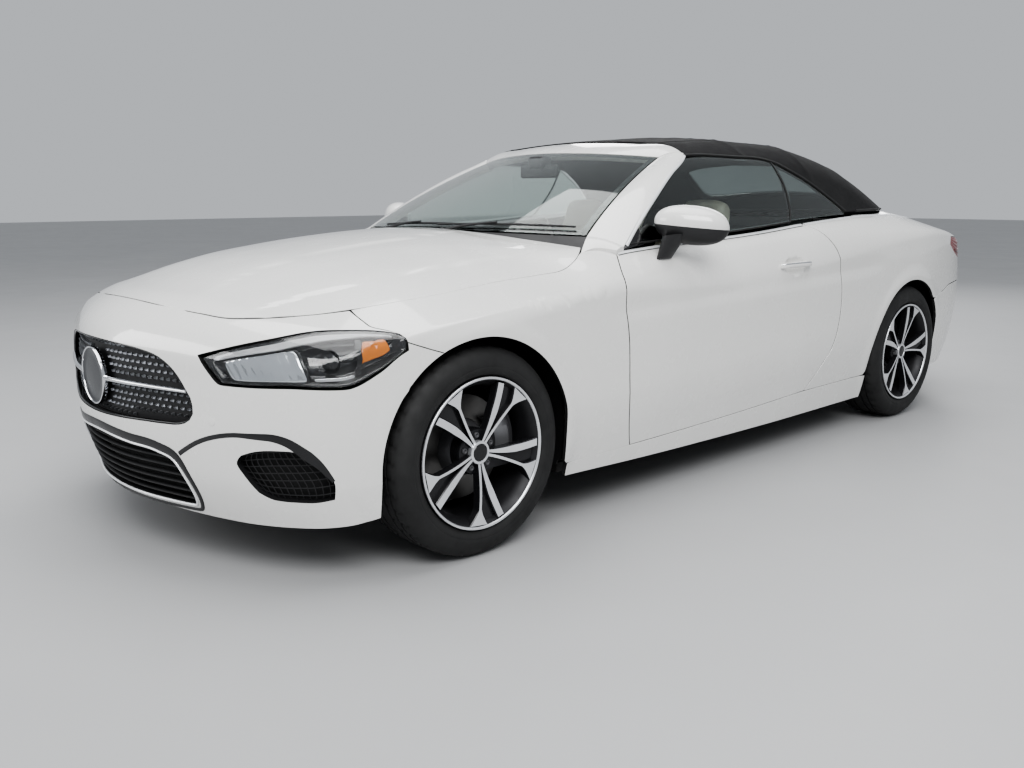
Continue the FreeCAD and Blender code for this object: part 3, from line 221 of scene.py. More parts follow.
W = Table((-2.45,.872),(-2.3,.892),(-2.1,.906),(-1.9,.919),(-1.565,.9295),(-1.2,.9255),(-.9,.9240),(-.3,.9240),(.3,.9250),(.9,.9285),(1.3,.9300),(1.6,.9245),(1.75,.912),(1.9,.892),(2.1,.862),(2.45,.80))
ZC = Table((-2.45,.60),(-2.2,.702),(-2.0,.736),(-1.8,.757),(-1.5,.792),(-1.24,.815),(-.9,.829),(-.7,.840),(-.4,.857),(0,.876),(.32,.890),(.8,.908),(1.13,.925),(1.5,.938),(1.8,.930),(2.1,.887),(2.3,.84),(2.45,.79))
XB = Table((-2.45,.54),(-2.35,.60),(-2.2,.665),(-2.1,.69),(-1.92,.75),(-1.7,.778),(-1.38,.788),(-1.1,.80),(-.95,.812),(-.8,.820),(0,.824),(.6,.822),(1.0,.812),(1.25,.797),(1.45,.783),(1.65,.772),(1.88,.755),(2.1,.72),(2.3,.66),(2.45,.60))
ZB = Table((-2.45,.715),(-2.35,.745),(-2.2,.777),(-2.1,.790),(-1.92,.802),(-1.7,.825),(-1.38,.860),(-1.1,.890),(-.95,.928),(-.85,.945),(-.66,.958),(-.17,.981),(.05,.994),(.37,1.018),(.7,1.037),(1.0,1.050),(1.25,1.050),(1.45,1.033),(1.65,1.006),(1.88,.965),(2.1,.925),(2.3,.885),(2.45,.85))
TC = Table((-2.45,.775),(-2.35,.808),(-2.2,.852),(-2.1,.882),(-1.95,.922),(-1.7,.962),(-1.4,.992),(-1.1,1.006),(-.95,1.008),(-.8,1.008),(-.5,1.012),(0,1.030),(.5,1.055),(1.0,1.080),(1.2,1.082),(1.5,1.066),(1.8,1.038),(2.1,1.000),(2.3,.968),(2.45,.94))
F0 = Table((.10,-2.28),(.17,-2.345),(.20,-2.360),(.25,-2.382),(.30,-2.400),(.40,-2.418),(.50,-2.425),(.60,-2.423),(.70,-2.411),(.75,-2.396),(.80,-2.368),(.90,-2.28),(1.0,-2.15))
FD = Table((0,0),(.1,.005),(.2,.021),(.3,.047),(.4,.077),(.5,.110),(.6,.150),(.7,.203),(.769,.252),(.82,.298),(.854,.338),(.889,.395),(.905,.44),(.92,.51),(.94,.62))
R0 = Table((.10,2.20),(.18,2.27),(.3,2.36),(.4,2.40),(.5,2.419),(.6,2.425),(.7,2.415),(.8,2.396),(.9,2.372),(.95,2.35),(1.0,2.30))
RD = Table((0,0),(.2,.008),(.35,.028),(.5,.068),(.6,.112),(.68,.165),(.74,.222),(.79,.285),(.83,.355),(.865,.445),(.89,.54),(.91,.65))
CR = Table((-2.45,.05),(-1.9,.03),(-1.5,.02),(-.9,.02),(-.5,.05),(0,.08),(.4,.05),(.8,.03),(1.5,.022),(1.9,.03),(2.45,.05))
RC = Table((-.60,1.20),(-.42,1.318),(-.30,1.350),(-.22,1.366),(-.1,1.382),(0,1.390),(.25,1.398),(.5,1.3975),(.75,1.383),(.95,1.350),(1.125,1.305),(1.3,1.240),(1.5,1.150),(1.65,1.073),(1.9,.95))
RF = Table((-.6,.060),(0,.075),(.5,.095),(.9,.15),(1.2,.21),(1.6,.26),(1.9,.3))
YF, YR, ZW = -1.565, 1.300, .340
HOOD_OUTER = Table((-2.20,.535),(-2.078,.545),(-1.848,.561),(-1.55,.578),(-1.223,.607),(-1.05,.595))
HOOD_INNER = Table((-2.30,.345),(-2.203,.325),(-1.958,.275),(-1.658,.268),(-1.306,.258),(-1.1,.205))

def rmax(a, b, r):
    u = np.maximum(a + r, 0); v = np.maximum(b + r, 0)
    return np.where((u <= 0) & (v <= 0), np.maximum(a, b), np.hypot(u, v) - r)

def sstep(x, a, b):
    t = np.clip((x - a) / (b - a), 0, 1)
    return t * t * (3 - 2 * t)

def body0(x, y, z):
    ax = np.abs(x); w = W(y); zc = ZC(y); xb = XB(y); zb = ZB(y); tc = TC(y)
    q = z - .62
    side = ax - (w - np.where(q > 0, .12, .085) * q * q)
    zl = .36 + .0485 * (y + .9)
    low = (ax - (w - .0085 - (zl - z) * .20)) / 1.02
    s = rmax(side, low, .012)
    for yc in (YF, YR):
        rho = np.hypot(y - yc, z - ZW)
        s = s - .006 * np.exp(-((rho - .385) / .035) ** 2)
    k = (w - .003 - xb) / (zb - zc)
    ch = (ax - (w - .004 + (zc - z) * k)) / np.sqrt(1 + k * k)
    g = rmax(s, ch, CR(y))
    T = tc - (tc - zb) * (ax / xb) ** 2
    sl = 2 * (tc - zb) * ax / xb ** 2
    g = rmax(g, (z - T) / np.sqrt(1 + sl * sl), .06)
    e = 1e-4
    dd = (FD(ax + e) - FD(ax)) / e
    g = rmax(g, (F0(z) + FD(ax) - y) / np.sqrt(1 + dd * dd), .10)
    dd = (RD(ax + e) - RD(ax)) / e
    return rmax(g, (y - (R0(z) - RD(ax))) / np.sqrt(1 + dd * dd), .05)

def body(x, y, z):
    """skin with the hood and side feature lines"""
    g = body0(x, y, z)
    ax = np.abs(x)
    ends = sstep(y, -2.20, -2.02) * (1 - sstep(y, -1.20, -1.05))
    o = HOOD_OUTER(y) - ax; i = HOOD_INNER(y) - ax
    dome = .0060 * sstep(o, -.014, .010) * (1 - .75 * sstep(o, .010, .16)) + .0050 * sstep(i, -.016, .012) * (1 - .4 * sstep(i, .012, .2))
    g = g - dome * ends * sstep(z, .70, .78)
    # line below the shoulder and a soft hollow under it along the doors
    lo = sstep(y, -1.05, -.85) * (1 - sstep(y, .75, 1.05))
    g = g + .0045 * np.exp(-((z - (.772 + .035 * y)) / .035) ** 2) * lo * sstep(ax, .80, .88)
    return g

def green(x, y, z):
    ax = np.abs(x); xb = XB(y); dz = z - ZB(y)
    side = (ax - (xb - .004 - .50 * dz - .36 * np.maximum(dz, 0) ** 2)) / 1.1662
    c = RF(y)
    top = (z - (RC(y) - c * (ax / .5) ** 2 * .36)) / np.sqrt(1 + (2 * c * .36 * ax / .25) ** 2)
    return rmax(side, top, .09)

BOWS = (.18, .60, .97)
def cloth(x, y, z):
    """soft top: cloth drawn over cross bows, a little lower between them"""
    g = green(x, y, z); ax = np.abs(x)
    up = sstep(z, 1.12, 1.30)
    for yb in BOWS: g = g - .0042 * np.exp(-((y - yb) / .022) ** 2) * up
    sag = .0028 * (1 - np.cos(2 * np.pi * (y + .21) / .39)) * .5 * up * (1 - sstep(y, .9, 1.1))
    return g + sag

def arr(p): return np.asarray(p, float)

def gradient(f, P, e=.0015):
    """unit normals and slope at points (..., 3)"""
    x, y, z = P[..., 0], P[..., 1], P[..., 2]
    g = np.stack([f(x + e, y, z) - f(x - e, y, z), f(x, y + e, z) - f(x, y - e, z), f(x, y, z + e) - f(x, y, z - e)], -1)
    n = np.linalg.norm(g, axis=-1, keepdims=True); n = np.where(n < 1e-12, 1, n)
    return g / n, n[..., 0] / (2 * e)

def snap(f, P, level=0.0, steps=8):
    P = P.copy()
    for _ in range(steps):
        n, m = gradient(f, P)
        v = f(P[..., 0], P[..., 1], P[..., 2]) - level
        P = P - n * np.clip(v / np.maximum(m, .3), -.06, .06)[..., None]
    return P

def resample(pts, n):
    pts = arr(pts)
    if len(pts) == 2: return pts[0] + (pts[1] - pts[0]) * np.linspace(0, 1, n)[:, None]
    L = np.concatenate([[0], np.cumsum(np.linalg.norm(np.diff(pts, axis=0), axis=1))])
    T = [Table(*[(L[i], pts[i][k]) for i in range(len(pts))]) for k in range(pts.shape[1])]
    s = np.linspace(0, L[-1], n)
    return np.stack([t(s) for t in T], -1)

def at(line, t):
    t = np.clip(t, 0, 1) * (len(line) - 1); i = np.minimum(t.astype(int), len(line) - 2); s = (t - i)[:, None]
    return line[i] + (line[i + 1] - line[i]) * s

def coons(b, t, l, r, us, vs, pw=1.0):
    N = 401
    B, T_, L, R = (resample(q, N) for q in (b, t, l, r))
    u = us[:, None, None]; v = vs[None, :, None]
    pb = at(B, us)[:, None]; pt = at(T_, us)[:, None]; pl = at(L, vs)[None]; pr = at(R, vs)[None]
    w = (1 - u) ** pw
    return ((1 - v) * pb + v * pt + w * pl + u * pr
            - (w * (1 - v) * B[0] + u * (1 - v) * B[-1] + w * v * T_[0] + u * v * T_[-1]))

def plen(p): return float(np.linalg.norm(np.diff(arr(p), axis=0), axis=1).sum())

def grid(f, b, t, l, r, nu, nv, inset=0.0, out=0.0, pw=1.0):
    if not isinstance(inset, tuple): inset = (inset,) * 4
    lu = .5 * (plen(b) + plen(t)); lv = .5 * (plen(l) + plen(r))
    us = np.linspace(inset[0] / lu, 1 - inset[1] / lu, nu); vs = np.linspace(inset[2] / lv, 1 - inset[3] / lv, nv)
    P = coons(b, t, l, r, us, vs, pw)
    if f is not None:
        P = snap(f, P)
        if out: P = P + gradient(f, P)[0] * out
    return P

# =====================================================================
# mesh helpers
# =====================================================================
def obj(name, verts, faces, mat, smooth=True, sharp=None):
    me = bpy.data.meshes.new(name)
    me.from_pydata([tuple(map(float, v)) for v in verts], [], [tuple(int(i) for i in f) for f in faces])
    me.validate(); me.update()
    o = bpy.data.objects.new(name, me); col.objects.link(o)
    me.materials.append(MAT[mat] if isinstance(mat, str) else mat)
    if smooth:
        me.shade_smooth()
        if sharp is not None: me.set_sharp_from_angle(angle=math.radians(sharp))
    return o

def grid_faces(nu, nv, off=0, flip=False, wrap_u=False, wrap_v=False):
    F = []
    for i in range(nu if wrap_u else nu - 1):
        for j in range(nv if wrap_v else nv - 1):
            a = off + i * nv + j; b = off + ((i + 1) % nu) * nv + j
            c = off + ((i + 1) % nu) * nv + (j + 1) % nv; d = off + i * nv + (j + 1) % nv
            F.append((a, d, c, b) if flip else (a, b, c, d))
    return F

def join_parts(name, parts, mat=None):
    """several (verts, faces) -> one object"""
    V, F = [], []
    for v, f in parts:
        o = len(V); V += [tuple(p) for p in v]; F += [tuple(i + o for i in q) for q in f]
    return obj(name, V, F, mat)

def set_normals(o, fns, limit=.80):
    """face corners that lie on a known surface take its exact normal"""
    me = o.data; n = len(me.vertices)
    co = np.empty(n * 3); me.vertices.foreach_get("co", co); co = co.reshape(-1, 3)
    nl = len(me.loops)
    vi = np.empty(nl, int); me.loops.foreach_get("vertex_index", vi)
    pn = np.empty(len(me.polygons) * 3); me.polygons.foreach_get("normal", pn); pn = pn.reshape(-1, 3)
    start = np.empty(len(me.polygons), int); me.polygons.foreach_get("loop_start", start)
    tot = np.empty(len(me.polygons), int); me.polygons.foreach_get("loop_total", tot)
    owner = np.repeat(np.arange(len(me.polygons)), tot)
    g = gradient(fns, co, .0012)[0]
    face = pn[owner]; vert = g[vi]
    d = (face * vert).sum(1)
    out = np.where((d > limit)[:, None], vert, np.where((d < -limit)[:, None], -vert, face))
    me.shade_smooth()
    me.normals_split_custom_set([tuple(v) for v in out])

def panel(name, f, P, mat="paint", thick=.014, roll=.0022, body_name=ROOT, exact=True):
    """skin from a grid of points, with a rolled edge and a return flange"""
    nu, nv = P.shape[:2]
    n = gradient(f, P)[0]
    idx = [(i, 0) for i in range(nu)] + [(nu - 1, j) for j in range(1, nv)] + [(i, nv - 1) for i in range(nu - 2, -1, -1)] + [(0, j) for j in range(nv - 2, 0, -1)]
    edge = np.array([P[i, j] for i, j in idx]); en = np.array([n[i, j] for i, j in idx])
    inn = []
    for i, j in idx:
        a = min(max(i, 1), nu - 2); c = min(max(j, 1), nv - 2)
        inn.append(P[a, c])
    t = edge - np.array(inn); t -= en * (t * en).sum(1, keepdims=True); t /= np.maximum(np.linalg.norm(t, axis=1, keepdims=True), 1e-9)
    m = len(idx)
    rings = [edge + t * roll * .62 - en * roll * .25, edge + t * roll - en * roll, edge + t * roll - en * thick]
    V = [tuple(p) for p in P.reshape(-1, 3)]
    # winding: choose so that faces point along n
    a, b_, c_ = P[0, 0], P[1, 0], P[0, 1]
    flip = np.dot(np.cross(P[nu // 2 + 1, nv // 2] - P[nu // 2, nv // 2], P[nu // 2, nv // 2 + 1] - P[nu // 2, nv // 2]), n[nu // 2, nv // 2]) < 0
    F = grid_faces(nu, nv, 0, flip)
    # the deepest ring of the return flange takes the near-black material: painted shade of the panel gap, the real
    # flange is body colour
    FM = [0] * (len(F) + 2 * m) + [1] * m
    ring_ids = [[i * nv + j for i, j in idx]]
    for r in rings:
        o = len(V); V += [tuple(p) for p in r]; ring_ids.append([o + k for k in range(m)])
    for A, B in zip(ring_ids[:-1], ring_ids[1:]):
        for k in range(m):
            q = (A[k], A[(k + 1) % m], B[(k + 1) % m], B[k])
            F.append(q if flip else q[::-1])
    # inner skin
    Q = P - n * thick
    o = len(V); V += [tuple(p) for p in Q.reshape(-1, 3)]
    F += grid_faces(nu, nv, o, not flip)
    inner = [o + i * nv + j for i, j in idx]
    # the inner skin of panels fixed to the shell is near-black too: painted shade seen through the gaps
    FM += [1 if body_name == ROOT else 0] * ((nu - 1) * (nv - 1)) + [1] * m
    A, B = ring_ids[-1], inner
    for k in range(m):
        q = (A[k], A[(k + 1) % m], B[(k + 1) % m], B[k])
        F.append(q if flip else q[::-1])
    ob = obj(name, V, F, mat)
    if mat == "paint" and len(ob.data.polygons) == len(FM):
        ob.data.materials.append(MAT["gap_shade_and_backing"]); ob.data.polygons.foreach_set("material_index", FM)
    if exact: finish_panel(ob, f)
    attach(ob, body_name)
    return ob

def finish_panel(ob, f):
    me = ob.data
    n = len(me.vertices)
    co = np.empty(n * 3); me.vertices.foreach_get("co", co); co = co.reshape(-1, 3)
    vi = np.empty(len(me.loops), int); me.loops.foreach_get("vertex_index", vi)
    me.shade_smooth()
    me.set_sharp_from_angle(angle=math.radians(50))
    cn = np.array([tuple(c.vector) for c in me.corner_normals])
    on = np.abs(f(co[:, 0], co[:, 1], co[:, 2])) < 4e-4
    g = gradient(f, co, .0012)[0][vi]
    pn = np.empty(len(me.polygons) * 3); me.polygons.foreach_get("normal", pn); pn = pn.reshape(-1, 3)
    tot = np.empty(len(me.polygons), int); me.polygons.foreach_get("loop_total", tot)
    owner = np.repeat(np.arange(len(me.polygons)), tot)
    ok = on[vi] & ((pn[owner] * g).sum(1) > .75)
    out = np.where(ok[:, None], g, cn)
    me.normals_split_custom_set([tuple(v) for v in out])

def flip_x(P):
    Q = P.copy(); Q[..., 0] *= -1
    return Q

def mirrored(o, name, body_name=None):
    """copy of a mesh object mirrored in x = 0"""
    me = o.data.copy(); me.name = name
    me.transform(Matrix.Scale(-1, 4, (1, 0, 0))); me.flip_normals()
    q = bpy.data.objects.new(name, me); col.objects.link(q)
    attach(q, body_name or o["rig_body"])
    return q

def cut(o, cutters):
    """cut closed meshes out of o"""
    for c in cutters:
        m = o.modifiers.new("cut", "BOOLEAN"); m.operation = "DIFFERENCE"; m.object = c; m.solver = "EXACT"
    dg = bpy.context.evaluated_depsgraph_get()
    me = bpy.data.meshes.new_from_object(o.evaluated_get(dg))
    old = o.data; o.modifiers.clear(); o.data = me
    for c in cutters: bpy.data.objects.remove(c, do_unlink=True)

def prism_obj(name, outline, d):
    """closed prism from a loop of points drawn along d"""
    n = len(outline)
    V = [tuple(p) for p in outline] + [tuple(arr(p) + arr(d)) for p in outline]
    F = [tuple(range(n))[::-1], tuple(range(n, 2 * n))] + [(k, (k + 1) % n, n + (k + 1) % n, n + k) for k in range(n)]
    o = obj(name, V, F, "gap_shade_and_backing", smooth=False)
    bm = bmesh.new(); bm.from_mesh(o.data); bmesh.ops.recalc_face_normals(bm, faces=bm.faces); bm.to_mesh(o.data); bm.free()
    return o

def lathe(profile, n, mat, name, closed=False, axis="X"):
    """profile of (along, radius) turned about X"""
    V = []; m = len(profile)
    for i in range(n):
        a = 2 * math.pi * i / n
        for (x, r) in profile: V.append((x, r * math.sin(a), r * math.cos(a)))
    F = grid_faces(n, m, 0, True, wrap_u=True, wrap_v=closed)
    return obj(name, V, F, mat, sharp=32)

def tube(name, pts, r, mat, n=10, closed=False, body_name=ROOT):
    pts = arr(pts); m = len(pts); V = []
    up = None
    for i in range(m):
        a = pts[(i - 1) % m] if (closed or i > 0) else pts[i]; b = pts[(i + 1) % m] if (closed or i < m - 1) else pts[i]
        t = (b - a) / max(np.linalg.norm(b - a), 1e-9)
        if up is None:
            up = np.cross(t, (0, 0, 1)) if abs(t[2]) < .9 else np.cross(t, (1, 0, 0))
        up = up - t * np.dot(up, t); up /= np.linalg.norm(up); s = np.cross(t, up)
        rr = r[i] if hasattr(r, "__len__") else r
        for k in range(n):
            an = 2 * math.pi * k / n
            V.append(pts[i] + (up * math.cos(an) + s * math.sin(an)) * rr)
    F = grid_faces(m, n, 0, False, wrap_u=closed, wrap_v=True)
    if not closed: F += [tuple(range(n))[::-1], tuple((m - 1) * n + k for k in range(n))]
    o = obj(name, V, F, mat, sharp=60)
    bm = bmesh.new(); bm.from_mesh(o.data); bmesh.ops.recalc_face_normals(bm, faces=bm.faces); bm.to_mesh(o.data); bm.free()
    if body_name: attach(o, body_name)
    return o

def ribbon(name, f, pts, width, mat, lift=.001, thick=.003, n=None, body_name=ROOT, side=None, prof=5):
    """moulding strip that follows a line on the surface f; width across, raised by lift"""
    n = n or max(12, int(plen(pts) / .012))
    L = resample(pts, n)
    if f is not None: L = snap(f, L)
    nn = gradient(f, L)[0]
    t = np.gradient(L, axis=0); t /= np.linalg.norm(t, axis=1, keepdims=True)
    s = np.cross(nn, t); s /= np.linalg.norm(s, axis=1, keepdims=True)
    wd = width if hasattr(width, "__len__") else np.full(n, width)
    V = []
    sec = [(-.5, -thick), (-.5, lift * .3), (-.36, lift), (0, lift * 1.25), (.36, lift), (.5, lift * .3), (.5, -thick)]
    for i in range(n):
        for a, h in sec: V.append(L[i] + s[i] * a * wd[i] + nn[i] * h)
    k = len(sec)
    F = grid_faces(n, k, 0, False, wrap_v=True) + [tuple(range(k))[::-1], tuple((n - 1) * k + q for q in range(k))]
    o = obj(name, V, F, mat, sharp=50)
    bm = bmesh.new(); bm.from_mesh(o.data); bmesh.ops.recalc_face_normals(bm, faces=bm.faces); bm.to_mesh(o.data); bm.free()
    if body_name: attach(o, body_name)
    return o

def rounded_box(name, lo, hi, r, mat, body_name=ROOT, seg=4, taper=None):
    bm = bmesh.new(); bmesh.ops.create_cube(bm, size=1.0)
    lo, hi = arr(lo), arr(hi)
    for v in bm.verts:
        v.co = Vector(((lo + hi) / 2 + arr(v.co) * (hi - lo)).tolist())
    bmesh.ops.bevel(bm, geom=bm.edges[:] + bm.verts[:], offset=min(r, float((hi - lo).min()) * .48), segments=seg, profile=.5, affect="EDGES")
    me = bpy.data.meshes.new(name); bm.to_mesh(me); bm.free()
    o = bpy.data.objects.new(name, me); col.objects.link(o); me.materials.append(MAT[mat]); me.shade_smooth(); me.set_sharp_from_angle(angle=math.radians(40))
    if body_name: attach(o, body_name)
    return o

def profile_x(name, pts, x0, x1, mat, r=.012, body_name=ROOT, seg=3):
    """closed outline in the (y, z) plane drawn along x with rounded edges"""
    n = len(pts); V = [(x0, p[0], p[1]) for p in pts] + [(x1, p[0], p[1]) for p in pts]
    F = [tuple(range(n)), tuple(range(2 * n - 1, n - 1, -1))] + [(k, n + k, n + (k + 1) % n, (k + 1) % n) for k in range(n)]
    bm = bmesh.new(); vs = [bm.verts.new(v) for v in V]
    for f in F: bm.faces.new([vs[i] for i in f])
    bmesh.ops.recalc_face_normals(bm, faces=bm.faces)
    bmesh.ops.bevel(bm, geom=bm.edges[:], offset=r, segments=seg, profile=.5, affect="EDGES", clamp_overlap=True)
    me = bpy.data.meshes.new(name); bm.to_mesh(me); bm.free()
    o = bpy.data.objects.new(name, me); col.objects.link(o); me.materials.append(MAT[mat]); me.shade_smooth(); me.set_sharp_from_angle(angle=math.radians(40))
    if body_name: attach(o, body_name)
    return o

# =====================================================================
# panel borders (left side)
# =====================================================================
DOOR_FRONT = [(.889,-.835,.232),(.905,-.862,.33),(.922,-.878,.46),(.924,-.888,.62),(.922,-.905,.78),(.89,-.893,.865),(.822,-.845,.945)]
DOOR_REAR = [(.886,.372,.262),(.898,.440,.327),(.909,.493,.385),(.919,.540,.445),(.926,.570,.530),(.926,.587,.664),(.924,.578,.769),(.919,.563,.853),(.903,.539,.904),(.866,.478,.967),(.822,.400,1.019)]
DOOR_BOTTOM = [(.889,-.835,.232),(.886,-.419,.237),(.885,.073,.250),(.886,.372,.262)]
DOOR_BELT = [(.822,-.845,.945),(.820,-.66,.958),(.823,-.17,.981),(.824,.05,.994),(.822,.400,1.019)]
HOOD_FRONT = [(-.60,-2.125,.787),(-.527,-2.192,.787),(-.41,-2.238,.795),(-.257,-2.272,.803),(0,-2.292,.808),(.257,-2.272,.803),(.41,-2.238,.795),(.527,-2.192,.787),(.60,-2.125,.787)]
HOOD_SIDE = [(.60,-2.125,.787),(.66,-2.02,.797),(.696,-1.904,.804),(.736,-1.671,.825),(.752,-1.353,.857),(.765,-1.182,.870),(.780,-1.088,.881),(.767,-1.012,.911),(.717,-.930,.951)]
HOOD_REAR = [(-.717,-.930,.951),(-.45,-1.010,.990),(0,-1.085,1.006),(.45,-1.010,.990),(.717,-.930,.951)]
AR = .372
def arc_pts(yc, y0, y1, n, x=.925):
    out = []
    for k in range(n):
        y = y0 + (y1 - y0) * k / (n - 1)
        out.append((x, y, ZW + math.sqrt(max(AR * AR - (y - yc) ** 2, 0))))
    return out
def arc_ang(yc, a0, a1, n, x=.925):
    return [(x, yc + AR * math.cos(math.radians(a0 + (a1 - a0) * k / (n - 1))), ZW + AR * math.sin(math.radians(a0 + (a1 - a0) * k / (n - 1)))) for k in range(n)]
A0 = math.degrees(math.atan2(.587 - .34, -1.8435 + 1.565))
FENDER_BOTTOM = arc_ang(YF, A0, 0, 15) + [(.91,-1.193,.29),(.903,-1.192,.24),(.893,-1.17,.2315),(.889,-1.0,.230),(.889,-.840,.230)]
FENDER_FRONT = [(.912,-1.8435,.587),(.907,-1.840,.66),(.898,-1.838,.720),(.855,-1.868,.752),(.80,-1.905,.768),(.75,-1.905,.786),(.702,-1.900,.804)]
FENDER_TOP = [(.702,-1.900,.804),(.736,-1.671,.825),(.752,-1.353,.857),(.765,-1.182,.870),(.780,-1.088,.881),(.767,-1.012,.911),(.745,-.955,.937),(.770,-.895,.955),(.822,-.851,.944)]
FENDER_REAR = [(.889,-.840,.230),(.905,-.868,.33),(.922,-.884,.46),(.924,-.894,.62),(.922,-.911,.78),(.89,-.899,.865),(.822,-.851,.944)]
BUMPER_BOTTOM = [(-.885,-1.935,.205),(-.845,-1.995,.195),(-.80,-2.072,.190),(-.70,-2.15,.185),(-.573,-2.212,.182),(-.418,-2.268,.182),(-.2,-2.335,.187),(0,-2.352,.188)]
NOSE_TOP = [(0,-2.298,.810),(.20,-2.287,.807),(.36,-2.258,.800),(.43,-2.262,.780),(.475,-2.283,.740),(.510,-2.300,.690),(.550,-2.293,.645),(.597,-2.277,.609),(.684,-2.232,.608),(.784,-2.163,.610),(.870,-2.037,.603),(.891,-1.94,.638),(.902,-1.865,.685),(.905,-1.838,.698)]
NOSE_ARCH = [(.885,-1.937,.205),(.893,-1.937,.27)] + arc_ang(YF, 180, A0, 9, .909) + [(.907,-1.840,.66),(.905,-1.838,.698)]
STRIP_IN = [(.5085,-2.301,.690),(.4735,-2.284,.739),(.4285,-2.263,.779),(.3590,-2.2583,.7998)]
STRIP_LOW = [(.5085,-2.301,.690),(.600,-2.248,.717),(.677,-2.176,.738),(.77,-2.015,.762),(.849,-1.887,.755),(.887,-1.845,.743)]
STRIP_TOP = [(.3590,-2.2583,.7998),(.414,-2.244,.797),(.533,-2.198,.788),(.607,-2.130,.787),(.667,-2.022,.797),(.706,-1.910,.803)]
STRIP_OUT = [(.887,-1.845,.743),(.855,-1.874,.752),(.80,-1.911,.768),(.75,-1.911,.786),(.706,-1.910,.803)]
SILL_TOP = [(.889,-1.172,.229),(.889,-.835,.228),(.886,-.419,.233),(.885,.073,.246),(.886,.372,.257),(.888,.93,.259)]
SILL_LOW = [(.872,-1.172,.185),(.868,-.83,.170),(.862,-.26,.155),(.860,.30,.148),(.860,.93,.150)]
LAMP_TOP = [(.526,-2.295,.684),(.600,-2.25,.712),(.677,-2.178,.733),(.77,-2.017,.757),(.849,-1.890,.750),(.887,-1.846,.738)]
LAMP_BOTTOM = [(.601,-2.272,.615),(.684,-2.229,.613),(.782,-2.16,.615),(.867,-2.037,.608),(.888,-1.94,.643),(.899,-1.845,.703)]
LAMP_IN = [(.601,-2.272,.615),(.566,-2.285,.648),(.526,-2.295,.684)]
LAMP_OUT = [(.899,-1.845,.703),(.894,-1.843,.720),(.887,-1.846,.738)]
GRILLE = [(0,.700),(.10,.699),(.19,.696),(.28,.689),(.365,.672),(.43,.635),(.47,.590),(.494,.552),(.496,.522),(.478,.494),(.443,.479),(.38,.473),(.30,.470),(.15,.465),(0,.462)]
INTAKE = [(0,.400),(.2,.388),(.33,.377),(.385,.360),(.415,.31),(.425,.255),(.410,.216),(.2,.212),(0,.212)]
VENT_IN = [(.672,-2.215,.298),(.642,-2.24,.347),(.625,-2.254,.384),(.642,-2.249,.409)]
VENT_TOP = [(.642,-2.249,.409),(.689,-2.225,.426),(.767,-2.171,.432),(.801,-2.142,.425)]
VENT_OUT = [(.838,-2.065,.283),(.845,-2.066,.326),(.830,-2.104,.387),(.801,-2.142,.425)]
VENT_LOW = [(.672,-2.215,.298),(.712,-2.182,.277),(.787,-2.126,.274),(.838,-2.065,.283)]
B0 = math.degrees(math.asin((.60 - .34) / AR))
QUARTER_BOTTOM = [(.886,.376,.264),(.888,.85,.2645),(.893,.91,.268),(.905,.926,.30)] + arc_ang(YR, 180, B0, 15) + [(.905,1.72,.630),(.885,1.82,.655),(.83,2.05,.662),(.74,2.2,.658),(.60,2.31,.648),(.505,2.365,.642)]
LID_SIDE = [(.565,1.722,1.018),(.585,1.90,.998),(.590,2.10,.96),(.575,2.25,.925),(.560,2.30,.88),(.548,2.345,.80),(.535,2.36,.70),(.505,2.365,.642)]
LID_FRONT = [(-.565,1.722,1.018),(-.3,1.742,1.04),(0,1.750,1.046),(.3,1.742,1.04),(.565,1.722,1.018)]
LID_REAR = [(-.505,2.365,.642),(-.25,2.41,.632),(0,2.42,.630),(.25,2.41,.632),(.505,2.365,.642)]
QUARTER_TOP = [(.822,.402,1.019),(.818,.7,1.037),(.812,1.0,1.050),(.797,1.25,1.050),(.783,1.45,1.033),(.715,1.62,1.026),(.64,1.695,1.018),(.565,1.722,1.018)]
REAR_SEAM = [(.912,1.571,.594),(.910,1.64,.612),(.905,1.72,.625),(.885,1.82,.650),(.83,2.05,.657),(.74,2.2,.653),(.60,2.31,.643),(.505,2.365,.637),(.25,2.41,.626),(0,2.42,.624)]
REAR_LOW = [(.885,1.672,.21),(.86,1.9,.20),(.80,2.08,.19),(.68,2.2,.185),(.5,2.27,.18),(.25,2.31,.18),(0,2.32,.18)]
REAR_SIDE = [(.885,1.672,.21),(.90,1.672,.34),(.908,1.663,.42),(.910,1.640,.49),(.912,1.605,.548),(.912,1.571,.594)]
TAIL_TOP = [(.572,2.295,.872),(.62,2.27,.880),(.72,2.17,.893),(.80,2.06,.903),(.86,1.92,.910),(.886,1.80,.912)]
TAIL_LOW = [(.588,2.315,.755),(.63,2.30,.755),(.74,2.2,.762),(.82,2.06,.775),(.876,1.92,.812),(.900,1.795,.868)]
GLASS_FRONT = [(.809,-.775,.958),(.771,-.662,1.036),(.73,-.528,1.123),(.669,-.350,1.224),(.622,-.218,1.283)]
GLASS_TOP = [(.622,-.218,1.283),(.619,-.108,1.291),(.638,.117,1.289),(.652,.304,1.284),(.660,.352,1.278)]
GLASS_REAR = [(.818,.292,1.020),(.769,.343,1.11),(.721,.362,1.193),(.660,.352,1.278)]
GLASS_LOW = [(.809,-.775,.958),(.815,-.644,.966),(.816,-.15,.988),(.816,.067,1.002),(.818,.292,1.020)]
QW_FRONT = [(.818,.300,1.0215),(.769,.351,1.11),(.721,.370,1.193),(.664,.361,1.274)]
QW_TOP = [(.664,.361,1.274),(.700,.468,1.230),(.728,.555,1.190),(.765,.650,1.132),(.793,.720,1.084),(.806,.752,1.058)]
QW_TIP = [(.812,.765,1.044),(.810,.760,1.050),(.806,.752,1.058)]
QW_LOW = [(.818,.300,1.0215),(.818,.5,1.032),(.812,.765,1.044)]
TOP_SIDE = [(.615,-.205,1.302),(.620,-.108,1.306),(.640,.117,1.303),(.655,.304,1.297),(.672,.375,1.284),(.708,.480,1.240),(.737,.566,1.199),(.774,.662,1.141),(.800,.735,1.092),(.812,.785,1.056)]
